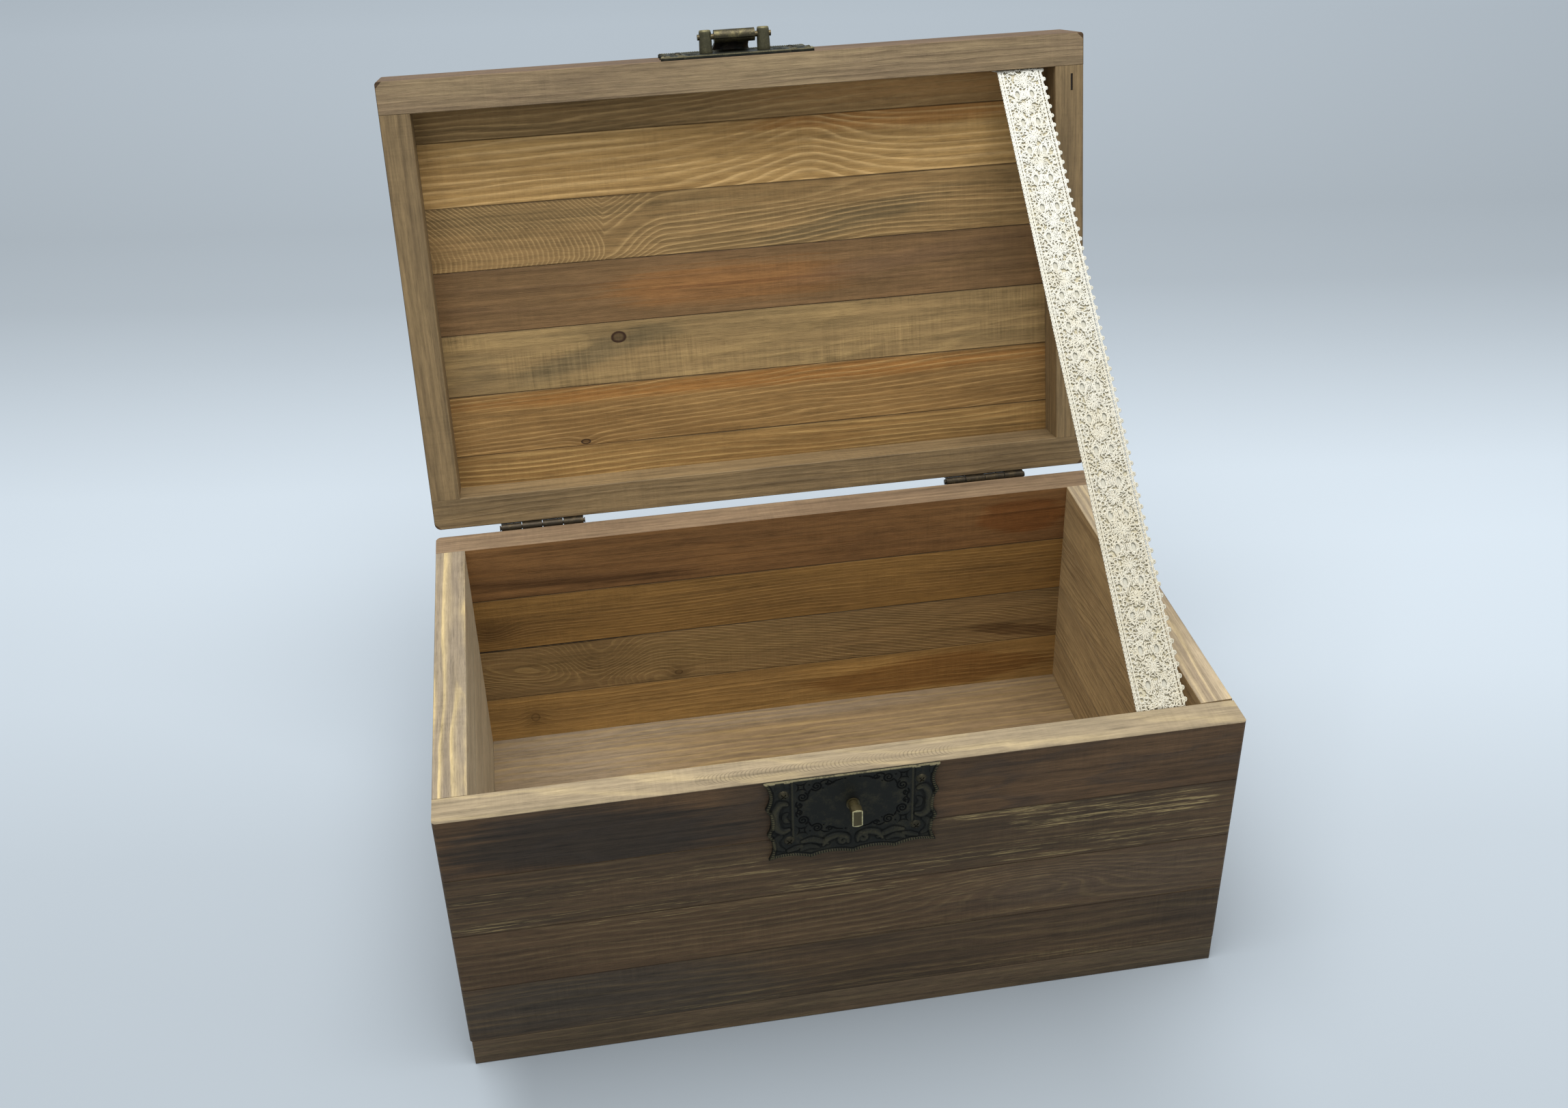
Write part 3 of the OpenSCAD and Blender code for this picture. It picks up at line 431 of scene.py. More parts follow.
# the walls' planks from the bottom up; out is a plank's own stain outside, top the one on its rim
wallFigures = {
    "front": [
        {"pith": (60, 20), "pitch": 3.2, "saw": 0.5,
         "rubbed": [rubbed(-11, 4, -100, 150, 0.3)],
         "patches": [patch((-95, 0), (60, 20), (68, 62, 54), 0.6, blur=0.5, outside=True)]},
        {"out": "walnutEye", "pith": (24, 9), "pitch": 2.7, "wobble": 4.0, "saw": 0.35,
         "knots": [knot((70, 1), 3.4, long=4.0, push=4.4, dark=0.0, halo=0.0)],
         "rubbed": [rubbed(11, 3, -110, 60, 0.6), rubbed(-12, 2.5, -20, 90, 0.4),
                    rubbed(2, 6, 20, 80, 0.3)],
         "patches": [patch((100, 2), (60, 13), (88, 74, 60), 0.55, blur=0.6, outside=True)]},
        {"pith": (60, 8), "pitch": 2.6, "wobble": 3.0,
         "rubbed": [rubbed(7, 6, 62, 142, 0.85, low=0.52), rubbed(12.5, 1.6, 36, 84, 0.8, low=0.5),
                    rubbed(-9, 6, -30, 150, 0.6, low=0.54), rubbed(1, 5, -150, -20, 0.5),
                    rubbed(-11, 3, -150, -40, 0.6)]},
        {"pith": (-6, 30), "lean": (0.0, 0.12), "pitch": 6.5, "wobble": 12.0, "saw": 0.3,
         "arcs": {"start": -60, "stop": 42, "pitch": 1.5, "radius": 3.0, "deep": -1.5, "strength": 0.3},
         "patches": [patch((-96, -2), (52, 13), (47, 42, 36), 0.8, blur=0.3, outside=True),
                     patch((-38, 4), (14, 12), (56, 48, 39), 0.5, blur=0.4, outside=True)]},
    ],
    "back": [
        {"stain": "insideGold", "pith": (60, -30), "pitch": 2.6, "lines": 0.5,
         "knots": [knot((-116, 1), 2.4, long=0.9, dark=0.6, halo=0.35)],
         "patches": [patch((70, 0), (50, 9), (124, 82, 38), 0.6)]},
        {"stain": "insideGrey", "pith": (-24, -12), "lean": (0.22, 0.0), "pitch": 1.6, "wobble": 3.0,
         "slants": [(-150, -60, -0.1)],
         "knots": [knot((-84, 1), 6.5, long=1.1, push=2.4, dark=0.25, halo=0.2),
                   knot((-47, -10), 1.5, long=1.5, dark=0.7, halo=0.35)],
         "patches": [patch((116, -8), (26, 4), (70, 44, 26), 0.6, lean=0.15),
                     patch((-106, 13.7), (44, 0.55), (22, 14, 9), 1.0, ragged=0.2),
                     patch((-60, 0), (70, 14), (158, 130, 82), 0.35, blur=0.6)]},
        {"pith": (-70, 12), "pitch": 1.7, "lines": 0.6, "wobble": 3.0,
         "knots": [knot((-131, -3), 2.6, long=1.5, dark=0.3, halo=0.5)]},
        {"stain": "insideRed", "top": "rimRed", "pith": (20, -18), "lean": (0.03, 0.0), "pitch": 6.5,
         "lines": 0.7,
         "patches": [patch((-92, -8), (44, 2.6), (66, 46, 30), 0.6, blur=0.6, lean=0.04),
                     patch((118, 2), (24, 9), (126, 78, 38), 0.7)]},
    ],
    "left": [
        {}, {}, {},
        {"top": "rimGrey", "pith": (16, 4), "pitch": 5.0, "wobble": 9.0, "shake": 6.0},
    ],
    "right": [
        {},
        {"lines": 0.5},
        {"pith": (-40, 10), "lean": (0.1, 0.0),
         "patches": [patch((-38, 0), (20, 1.6), (50, 34, 22), 0.8, lean=-0.6)]},
        {"top": "rimPale", "pith": (0, 14), "pitch": 4.0, "shake": 4.0},
    ],
}
# what the walls are stained inside, where a plank has no stain of its own
wallStains = {"front": "inside", "back": "inside", "left": "insideChalk", "right": "insidePale"}
baseFigure = {
    "seed": 20, "grain": "x", "stain": "floor", "middle": (0, 0, 8), "half": 97, "pith": (10, -60),
    "pitch": 2.6, "grime": 0.0, "wobble": 3.0, "saw": 0.1,
    "patches": [patch((-112, 66), (60, 26), (146, 132, 112), 0.5, blur=0.6),
                patch((-20, 80), (130, 7), (150, 136, 116), 0.4, blur=0.6)]}
# the lid's planks, from the front
lidFigures = [
    # painted light: the first plank's pale patch at its right end brightens it where the front rail shades
    # it
    {"stain": "olive", "pith": (40, 30), "pitch": 2.0, "lean": (0.06, 0.0),
     "patches": [patch((96, -4), (96, 16), (172, 132, 82), 0.9, blur=0.5)]},
    {"stain": "straw", "pith": (44, 12), "lean": (0.02, 0.0), "pitch": 3.0, "wobble": 2.5,
     "humps": [(26, 34, 8), (30, 14, 3)], "lines": 1.1,
     "patches": [patch((84, -11), (60, 4.5), (160, 106, 50), 0.6, blur=0.4)]},
    {"stain": "olive", "pith": (5, 1), "lean": (0.04, 0.0), "pitch": 2.1, "wobble": 3.0, "shake": 2.4,
     "slants": [(-150, -62, 0.95)], "shifts": [(-66, -34, 14)], "humps": [(62, 50, 5)],
     "patches": [patch((50, 4), (44, 5), (92, 80, 56), 0.6, blur=0.5, lean=0.2),
                 patch((-96, -8), (40, 6), (104, 88, 58), 0.4, blur=0.5)]},
    {"stain": "russet", "pith": (30, 40), "pitch": 6.0,
     "patches": [patch((-8, 0), (52, 9), (156, 108, 60), 0.66, blur=0.3, ragged=1.4),
                 patch((8, 1), (50, 0.9), (110, 72, 42), 0.5),
                 patch((60, -2), (40, 4), (122, 94, 68), 0.4, blur=0.4, lean=0.1)]},
    {"stain": "oat", "pith": (-30, 44), "lean": (0.16, 0.0), "pitch": 6.5, "saw": 0.8, "sawInside": True,
     "knots": [knot((-60, -7), 2.9, halo=0.12)],
     "patches": [patch((-76, 1), (28, 5), (106, 94, 68), 0.55, blur=0.5, lean=0.25),
                 patch((-44, -7), (12, 4), (108, 94, 66), 0.5, blur=0.5),
                 patch((-128, 4), (16, 8), (104, 90, 66), 0.4, blur=0.5)]},
    {"stain": "amber", "pith": (50, 20), "lean": (0.05, 0.0), "pitch": 1.9, "wobble": 3.0,
     "knots": [knot((-79, 12), 1.3, long=1.8, halo=0.2)],
     "patches": [patch((10, -9.5), (150, 3.4), (158, 108, 54), 0.75, blur=0.5)]},
    {"stain": "honey", "pith": (-60, 25), "pitch": 2.2, "wobble": 3.0,
     "patches": [patch((90, -5), (36, 7), (122, 95, 56), 0.55, blur=0.3, ragged=3.0)]},
]
railStains = {"front": "smokePale", "back": "smoke", "left": "smoke", "right": "smoke"}


def wallSide(side):
    # whether a wall or rail runs along x, which way it faces, and how far out its middle is
    wide = side in ("front", "back")
    way = -1 if side in ("front", "left") else 1
    far = (boxShape["depth"] - boxShape["wall"]) / 2 if wide else (boxShape["width"] - boxShape["end"]) / 2
    return wide, way, far


def outside(axis, way, far, stain, lines=1.0):
    # a stained face, far out from the box's middle; the stain goes a fifth of a millimetre deep
    return {"axis": axis, "way": way, "start": far - 0.2, "stain": stain, "lines": lines}


def walls():
    rowHigh = (boxShape["height"] - boxShape["base"]) / boxShape["rows"]
    for index, (side, figures) in enumerate(wallFigures.items()):
        wide, way, far = wallSide(side)
        for row, figure in enumerate(figures, 1):
            last = row == boxShape["rows"]
            height = boxShape["base"] + (row - 0.5) * rowHigh
            out = figure.get("out", "walnut" if row % 2 else "walnutWarm")
            faces = [outside(1, way, halfDepth, out) if wide else outside(0, way, halfWidth, out)]
            if wide:
                faces += [outside(0, end, halfWidth, "walnut", 0.3) for end in (-1, 1)]
            if last:
                faces.append(outside(2, 1, boxShape["height"], figure.get("top", "rim")))
            yield "%s_plank_%d" % (side, row), {
                "seed": boxShape["rows"] * index + row, "stain": wallStains[side],
                "grain": "xz" if wide else "yz", "half": rowHigh / 2, "faces": faces,
                "middle": (0, way * far, height) if wide else (way * far, 0, height),
                "seams": "low" if last else "both", **figure}


def lidBoards():
    railTop = boxShape["height"] + lidShape["rail"]
    # the lid's front face takes the paler stain, partly its walnut and partly a painted highlight
    faces = [outside(2, 1, railTop + lidShape["top"], "walnutWarm"),
             outside(1, -1, halfDepth, "lidFront"), outside(1, 1, halfDepth, "walnutWarm"),
             outside(0, -1, halfWidth, "walnut", 0.3), outside(0, 1, halfWidth, "walnut", 0.3)]
    for seed, (side, stain) in enumerate(railStains.items(), 31):
        wide, way, far = wallSide(side)
        height = railTop - lidShape["rail"] / 2
        yield "lid_%s_rail" % side, {
            "seed": seed, "stain": stain, "grain": "x" if wide else "y", "half": 99, "faces": faces,
            "middle": (0, way * far, height) if wide else (way * far, 0, height), "lid": True}
    rowDeep = boxShape["depth"] / lidShape["rows"]
    for row, figure in enumerate(lidFigures, 1):
        yield "lid_plank_%d" % row, {
            "seed": 20 + row, "grain": "x", "half": rowDeep / 2, "faces": faces, "lid": True,
            "middle": (0, (row - 0.5) * rowDeep - halfDepth, railTop + lidShape["top"] / 2),
            "seams": {1: "high", lidShape["rows"]: "low"}.get(row, "both"), **figure}


plinthTop = boxShape["base"] - 1.0
baseFigure["faces"] = [outside(2, -1, -plinthTop, "plinth")] \
    + [outside(axis, way, far - boxShape["baseInset"], "plinth", 0.6)
       for axis, far in ((0, halfWidth), (1, halfDepth)) for way in (-1, 1)]
for node, board in [("base_board", baseFigure), *walls(), *lidBoards()]:
    setMaterial(node, timber(node.replace("_", "-"), board))
print("timber done")


def bronze(name, worn, dark, lid=False, edge=None):
    # blackened bronze; a cast plate says itself where it is rubbed or sooty, and its straight edge shines
    brush = newBrush(name)
    spot = brush.inBox(lid)
    patina = brush.noise(spot, (0.25, 0.25, 0.25), 4.0, 0.6)
    speck = brush.noise(spot, (1.6, 1.6, 1.6), 3.0, 0.6)
    wear = brush.step(patina + (speck - 0.5) * 0.5, 0.45, 0.75) * (0.12 if edge else 0.35)
    if edge:
        gleam = brush.node("ShaderNodeAttribute", {"attribute_name": "gleam"}, None, 2)
        wear = wear + gleam * (speck + 0.5)
    wear = wear.maths("MINIMUM", 1.0)
    colour = brush.mix(wear, paint(*dark), paint(*worn))
    if edge:
        soot = brush.node("ShaderNodeAttribute", {"attribute_name": "soot"}, None, 2)
        colour = brush.mix(soot, colour, paint(9, 9, 8))
        x, y, z = brush.axes(spot)
        shine = brush.step(z, edge["dull"], edge["bright"]) \
            * brush.step(y * -1.0, edge["out"], edge["out"] + 0.2) \
            * brush.step(patina + (speck - 0.5) * 1.2, 0.2, 0.6, 0.35, 0.9)
        colour = brush.mix(shine, colour, paint(128, 120, 92))
    return brush.finish({"Base Color": colour, "Metallic": 0.35 if edge else 0.75,
                         "Roughness": 0.46 - wear * 0.12 + (speck - 0.5) * 0.2,
                         "Specular IOR Level": 0.12 if edge else 0.5}, speck * 0.05 + patina * 0.1)


# the turn post's head; middle is its height, face its distance from the box's middle
postHead = {"wide": 3.8, "high": 7.4, "middle": 109.3, "face": 107.3}


def postBronze():
    # the head is rubbed bright along the edges of its flat face
    brush = newBrush("post-bronze")
    spot = brush.inBox()
    x, y, z = brush.axes(spot)
    speck = brush.noise(spot, (1.6, 1.6, 1.6), 3.0, 0.6)
    patina = brush.noise(spot, (0.4, 0.4, 0.4), 3.0, 0.6)
    side = brush.step(abs(x), postHead["wide"] / 2 - 0.5, postHead["wide"] / 2 - 0.2)
    end = brush.step(abs(z - postHead["middle"]), postHead["high"] / 2 - 0.6, postHead["high"] / 2 - 0.25)
    rim = side.maths("MAXIMUM", end) * brush.step(y * -1.0, postHead["face"] - 0.5, postHead["face"] - 0.3)
    colour = brush.mix(patina * 0.8, paint(60, 53, 34), paint(96, 86, 54))
    colour = brush.mix(rim * brush.step(speck, 0.25, 0.6, 0.5, 1.0), colour, paint(206, 196, 150))
    return brush.finish({"Base Color": colour, "Metallic": 0.6, "Roughness": 0.42 + (speck - 0.5) * 0.2},
                        speck * 0.05 + patina * 0.1)


# where each plate's straight edge turns from dull to bright, and how far out it stands
rimTop = boxShape["height"]
plateEdge = {"dull": rimTop - 0.5, "bright": rimTop - 0.25, "out": halfDepth + 0.4}
keeperEdge = {"dull": rimTop + 0.5, "bright": rimTop + 0.25, "out": halfDepth + 0.85}
metals = {
    "hinge": bronze("hinge-bronze", (116, 98, 66), (54, 46, 34)),
    "plate": bronze("plate-bronze", (112, 104, 74), (34, 35, 32), edge=plateEdge),
    "keeper": bronze("keeper-bronze", (140, 132, 96), (44, 45, 39), lid=True, edge=keeperEdge),
    "hasp": bronze("hasp-bronze", (156, 144, 98), (66, 60, 44), lid=True),
    "pin": bronze("pin-bronze", (150, 132, 92), (84, 74, 52), lid=True),
    "post": postBronze(),
    "screw": bronze("screw-bronze", (108, 98, 68), (50, 46, 34)),
    "steel": bronze("wire-steel", (120, 112, 104), (60, 52, 46)),
}
metalNodes = {
    "hinge": [side + part for side in ("left_hinge_", "right_hinge_")
              for part in ("box_leaf", "lid_leaf", "pin")],
    "screw": ["hinge_box_screws", "hinge_lid_screws", "latch_plate_screws", "keeper_plate_screws",
              "ribbon_box_tacks", "ribbon_lid_tacks"],
    "steel": ["turn_post_washer", "wall_brads", "base_nails", "lid_brads", "lid_staple"],
    "plate": ["latch_plate"], "keeper": ["keeper_plate"], "post": ["turn_post"], "pin": ["hasp_pin"],
    "hasp": ["hasp"],
}
for kind, nodes in metalNodes.items():
    for node in nodes:
        setMaterial(node, metals[kind])
print("metal done")


def stroke(points, widths, steps=10):
    # a smooth line through a few points, as short pieces with a width at each end
    line = []
    last = len(points) - 1
    for i in range(last):
        before, here = points[max(i - 1, 0)], points[i]
        after, beyond = points[i + 1], points[min(i + 2, last)]
        for k in range(steps):
            t = k / steps
            spot = [0.5 * (2 * here[j] + (after[j] - before[j]) * t
                           + (2 * before[j] - 5 * here[j] + 4 * after[j] - beyond[j]) * t * t
                           + (3 * here[j] - before[j] - 3 * after[j] + beyond[j]) * t ** 3) for j in (0, 1)]
            line.append((spot[0], spot[1], widths[i] + (widths[i + 1] - widths[i]) * t))
    line.append((points[-1][0], points[-1][1], widths[-1]))
    return line


def spiral(middle, start, end, angle, sweep, thick, thin, steps=26):
    line = []
    for i in range(steps + 1):
        t = i / steps
        turn = math.radians(angle + sweep * t)
        reach = start + (end - start) * t
        line.append((middle[0] + reach * math.cos(turn), middle[1] + reach * math.sin(turn),
                     thick + (thin - thick) * t))
    return line


def nearness(line, x, v):
    # 0 on the middle of the line, 1 at its edge
    best = np.full(x.shape, 9.0)
    for (x0, v0, w0), (x1, v1, w1) in zip(line, line[1:]):
        length = (x1 - x0) ** 2 + (v1 - v0) ** 2 + 1e-9
        t = np.clip(((x - x0) * (x1 - x0) + (v - v0) * (v1 - v0)) / length, 0, 1)
        gap = np.hypot(x - x0 - t * (x1 - x0), v - v0 - t * (v1 - v0))
        best = np.minimum(best, gap / (w0 + (w1 - w0) * t))
    return best


def soft(value, low, high):
    t = np.clip((value - low) / (high - low), 0, 1)
    return t * t * (3 - 2 * t)


# both plates: blocks are the stepped ones on the straight edge, as (from, to, length) from the side
cast = {"gap": 0.15, "width": 65.0, "thick": 1.4, "taper": 0.9, "cusp": 0.8, "hollow": 1.8, "step": 0.19,
        "pitch": 1.0, "rope": 1.35, "ropeHigh": 0.5, "groove": 0.22, "ribIn": 10.2, "ribHigh": 0.32,
        "blocks": [(1.6, 4.0, 4.6), (7.4, 9.6, 3.4)], "blockHigh": 0.5, "leafHigh": 0.55, "moat": 0.2,
        "fieldIn": 10.6, "engrave": 0.32}
# one corner of the engraved field, from the corner: spirals, strokes and dots round a star
cornerLines = [
    spiral((8.6, 3.2), 2.15, 0.4, 150, -600, 0.34, 0.26),
    spiral((3.4, 7.6), 2.15, 0.4, -60, 600, 0.34, 0.26),
    spiral((13.2, 2.2), 1.2, 0.35, 170, -460, 0.3, 0.22, 18),
    spiral((2.0, 11.6), 1.2, 0.35, -80, 460, 0.3, 0.22, 18),
    stroke([(10.2, 1.6), (11.4, 0.9), (13.0, 0.9)], [0.24, 0.34, 0.24], 5),
    stroke([(14.4, 2.7), (15.8, 1.7), (18.2, 1.3)], [0.42, 0.34, 0.16], 5),
    stroke([(6.4, 4.6), (5.9, 5.4), (5.6, 6.4)], [0.2, 0.34, 0.24], 5),
    stroke([(1.3, 9.6), (0.9, 10.6), (0.9, 11.8)], [0.24, 0.34, 0.24], 5),
]
cornerDots = [((5.9, 2.2), 0.34), ((1.7, 13.4), 0.42), ((19.2, 1.2), 0.36), ((11.0, 4.4), 0.3)]
cornerStar = {"middle": 2.9, "edge": 3.5, "hollow": 2.0}


def cornerCut(x, v):
    # 1 where the corner is engraved
    cut = np.full(x.shape, 9.0)
    for line in cornerLines:
        cut = np.minimum(cut, nearness(line, x, v))
    for spot, size in cornerDots:
        cut = np.minimum(cut, np.hypot(x - spot[0], v - spot[1]) / size)
    # the star: four hollow-sided points set on the diagonal, cut along its outline
    a, b = (x + v - 2 * cornerStar["middle"]) * 0.7071, (v - x) * 0.7071
    reach = (np.sqrt(np.abs(a)) + np.sqrt(np.abs(b))) ** 2
    star, inner = reach / cornerStar["edge"], reach / cornerStar["hollow"]
    cut = np.minimum(cut, np.where(inner < 1, 2.0 - inner, star))
    return 1 - soft(cut, 0.75, 1.25)


def plateOutline(plate, a, b):
    # a runs from -1 to 1 over the width, b from 0 on the straight edge to 1 on the shaped one;
    # gives x, and the distance v from the straight edge
    height, half = plate["height"], cast["width"] / 2 - cast["taper"] * b
    sideT, edgeT = (b * plate["bays"]) % 1.0, ((a + 1) * 2) % 1.0
    sideIn = 4 * sideT * (1 - sideT) * cast["hollow"]
    cusp = cast["cusp"] * np.clip((1 - np.abs(a)) * 2, 0, 1)
    edgeIn = 4 * edgeT * (1 - edgeT) * (cast["hollow"] - 0.3)
    x = a * half - np.sign(a) * sideIn * soft(np.abs(a) * half, half - 8, half)
    v = b * (height + cusp) + cast["gap"] * (1 - b) - edgeIn * soft(b * height, height - 7, height)
    return x, v


def ropeEdge(plate, a, b):
    # the beaded rope, by how far in and how far along the edge a point is; how high it stands, gleams
    # and is sooty
    width, height = cast["width"], plate["height"]
    fromSide, fromEdge = (1 - np.abs(a)) * (width / 2 - cast["taper"] * b), (1 - b) * height
    inward = np.minimum(fromSide, fromEdge)
    alongEdge = np.where(fromSide < fromEdge, b * height, (a + 1) * width / 2)
    bead = np.abs(np.sin(alongEdge * math.pi / cast["pitch"])) ** 0.8
    rope = np.clip(1 - ((inward - cast["rope"] / 2) / (cast["rope"] / 2)) ** 2, 0, 1) ** 0.5
    groove = np.exp(-((inward - cast["rope"] - 0.3) / 0.3) ** 2)
    out = cast["ropeHigh"] * rope * (0.2 + 0.8 * bead) - cast["groove"] * groove
    return out, rope * bead ** 2 * 0.45, np.maximum(rope * (1 - bead) ** 2 * 1.4, groove * 0.7)


def plateRelief(plate, x, v, out, gleam, soot):
    # ribs beside the plain field, and the stepped blocks
    side, fromEnd = np.abs(x), cast["width"] / 2 - np.abs(x)
    ribX, field = cast["width"] / 2 - cast["ribIn"], plate["field"]
    rib = (1 - soft(np.abs(side - ribX), 0.25, 0.5)) * (1 - soft(v, field, field + 0.6))
    out += cast["ribHigh"] * rib
    gleam += 0.15 * rib
    soot = np.maximum(soot, 0.7 * np.exp(-((side - ribX - 0.8) / 0.35) ** 2) * (v < field))
    for left, right, low in cast["blocks"]:
        block = soft(fromEnd, left - 0.3, left + 0.2) * (1 - soft(fromEnd, right - 0.2, right + 0.3))
        out += cast["blockHigh"] * block * (1 - soft(v, low - 1.6, low))
    # leaves and scrolls in relief, the same on both halves, each in its own moat
    relief = np.zeros(x.shape)
    for line, high in plate["leaves"]:
        near = nearness(line, -side, v)
        relief = np.maximum(relief, high * np.clip(1 - near ** 2, 0, 1) ** 0.7)
        moat = (soft(near, 0.9, 1.1) * (1 - soft(near, 1.3, 2.1))) * (relief < 0.01)
        out -= cast["moat"] * moat
        soot = np.maximum(soot, 0.6 * moat)
    out += relief * cast["leafHigh"]
    soot *= 1 - soft(relief, 0.05, 0.3)
    gleam += 0.16 * relief ** 3
    fieldX = cast["width"] / 2 - cast["fieldIn"]
    cut = np.maximum(cornerCut(fieldX - side, v - 0.5), cornerCut(fieldX - side, field - 0.3 - v))
    cut *= side < fieldX
    out -= cast["engrave"] * cut
    soot = np.maximum(soot, cut)
    for padX, padV, size in plate["pads"]:
        clear = soft(np.hypot(side - abs(padX), v - padV), size - 0.1, size + 0.35)
        out *= clear
        soot *= clear
    return out, gleam, soot


def addBoss(mesh, gleamLayer, middleX, middleV, wide, high):
    # a round boss as rough as it was cast, a little narrower at the top
    ball = bmesh.ops.create_uvsphere(mesh, u_segments=40, v_segments=28, radius=1.0)
    for vertex in ball["verts"]:
        px, py, pz = vertex.co
        full = (math.hypot(px, py) ** 13 + abs(pz) ** 13) ** (1 / 13)
        up = (pz / full + 1) / 2
        grow = wide - 0.3 * up + 0.09 * noise.noise(Vector((px * 2 + middleX, py * 2, up * 6)))
        vertex.co = (middleX + px / full * grow, middleV + py / full * grow, 0.8 + up * (high - 0.8))
        vertex[gleamLayer] = 0.2 + 0.5 * soft(up, 0.93, 0.99)


def castPlate(plate, material, body, seat):
    across, up = round(cast["width"] / cast["step"]), round(plate["height"] / cast["step"])
    mesh = bmesh.new()
    bmesh.ops.create_grid(mesh, x_segments=across, y_segments=up, size=1.0)
    a = np.array([vertex.co.x for vertex in mesh.verts])
    b = np.array([vertex.co.y for vertex in mesh.verts]) * 0.5 + 0.5
    gleamLayer = mesh.verts.layers.float.new("gleam")
    sootLayer = mesh.verts.layers.float.new("soot")
    x, v = plateOutline(plate, a, b)
    relief = plateRelief(plate, x, v, *ropeEdge(plate, a, b))
    for vertex, px, pv, out, gleam, soot in zip(mesh.verts, x, v, *relief):
        vertex.co = (px, pv, cast["thick"] + out)
        vertex[gleamLayer] = min(gleam, 1.0)
        vertex[sootLayer] = min(soot, 1.0)
    # the walls down to the wood, and the flat back
    rim = [edge for edge in mesh.edges if edge.is_boundary]
    for vertex in bmesh.ops.extrude_edge_only(mesh, edges=rim)["geom"]:
        if isinstance(vertex, bmesh.types.BMVert):
            vertex.co.z = 0.0
            vertex[sootLayer] = 0.6
    foot = [edge for edge in mesh.edges if edge.is_boundary]
    bmesh.ops.edgeloop_fill(mesh, edges=foot)
    for edge in rim + foot:
        edge.smooth = False
    for boss in plate["bosses"]:
        addBoss(mesh, gleamLayer, *boss)
    for vertex in mesh.verts:
        vertex.co = seat(*vertex.co)
    bmesh.ops.recalc_face_normals(mesh, faces=mesh.faces)
    return piece(plate["name"], mesh, material, body, plate["node"])


def onBox(x, v, out):
    return x, -halfDepth - out, rimTop - v


def onLid(x, v, out):
    return (x,) + opened(-halfDepth - out, rimTop + v)


# leaves are (line, height), pads (x, v, radius), bosses (x, v, radius, height)
latchPlate = {
    "name": "latch-plate-cast", "node": "latch_plate", "height": 36.5, "bays": 3, "field": 27.0,
    "pads": [(25.5, 6.1, 2.3), (23.8, 27.9, 2.3), (0.0, 13.7, 4.7)], "bosses": [],
    "leaves": [
        (stroke([(-24.2, 10.6), (-26.6, 10.2), (-28.3, 13.0), (-28.8, 17.4), (-28.2, 21.4), (-26.0, 23.4),
                 (-23.6, 22.6)], [0.6, 1.4, 1.5, 1.7, 1.6, 1.3, 0.6]), 1.0),
        (stroke([(-24.2, 15.0), (-25.4, 16.2), (-25.0, 18.2), (-23.8, 19.0)],
                [0.5, 1.0, 1.0, 0.5], 6), 0.6),
        (stroke([(-26.8, 25.4), (-28.8, 27.6), (-28.4, 30.6), (-25.8, 32.4)],
                [0.9, 1.3, 1.2, 0.5], 6), 0.5),
        (spiral((-3.7, 31.0), 1.9, 0.5, -60, -300, 1.0, 0.8, 16), 0.9),
        (stroke([(-1.9, 32.0), (-2.4, 29.6), (-5.6, 28.4), (-9.2, 29.4), (-11.2, 32.2)],
                [0.8, 1.1, 1.3, 1.3, 0.6]), 1.0),
        (stroke([(-9.4, 31.6), (-12.2, 30.2), (-15.4, 29.0), (-19.2, 29.4)], [0.6, 1.2, 1.3, 0.5]), 0.85),
        (stroke([(-12.8, 33.0), (-15.8, 31.9), (-18.2, 32.4), (-19.6, 33.4)], [0.5, 1.1, 1.1, 0.5]), 0.7),
        (stroke([(-19.0, 31.4), (-21.6, 32.2), (-24.4, 33.0)], [0.7, 1.1, 0.6]), 0.7)]}
keeperPlate = {
    "name": "keeper-plate-cast", "node": "keeper_plate", "height": 24.0, "bays": 2, "field": 17.5,
    "pads": [(24.2, 13.5, 2.3), (12.35, 9.5, 2.7)],
    "bosses": [(-12.35, 9.5, 2.85, 10.9), (12.35, 9.5, 2.85, 10.9)],
    "leaves": [
        (stroke([(-24.4, 18.2), (-27.0, 18.6), (-28.8, 15.6), (-28.9, 11.0), (-27.8, 7.6), (-25.8, 6.2)],
                [0.5, 1.2, 1.4, 1.5, 1.2, 0.7]), 0.9),
        (stroke([(-2.0, 20.8), (-4.6, 19.4), (-8.4, 20.0), (-11.0, 21.4)], [0.9, 1.2, 1.1, 0.5]), 0.9),
        (stroke([(-10.2, 19.8), (-14.2, 19.2), (-18.2, 20.6), (-22.0, 20.2)], [0.6, 1.1, 1.1, 0.5]), 0.8)]}
castPlate(latchPlate, metals["plate"], "box", onBox)
castPlate(keeperPlate, metals["keeper"], "lid", onLid)
print("plates done")


# the ribbon, from its left edge and its lower end; a repeat starts between two flowers, and eyelet is
# how far off the middle it lies, then half its width and half its length
lace = {"left": 112.5, "width": 20.0, "tab": 11.0, "off": 0.7, "drop": 0.5, "rise": 1.9, "repeat": 13.88,
        "start": 6.44, "middle": 9.4, "thread": 0.31, "petals": 11, "petal": 3.3, "eyelet": (3.2, 1.2, 2.0),
        "holes": [(4.2, 1.6), (4.2, 5.2), (4.2, 8.5), (14.4, 4.2), (14.4, 9.7)], "stitches": 225,
        "backing": (0.2, 17.8)}
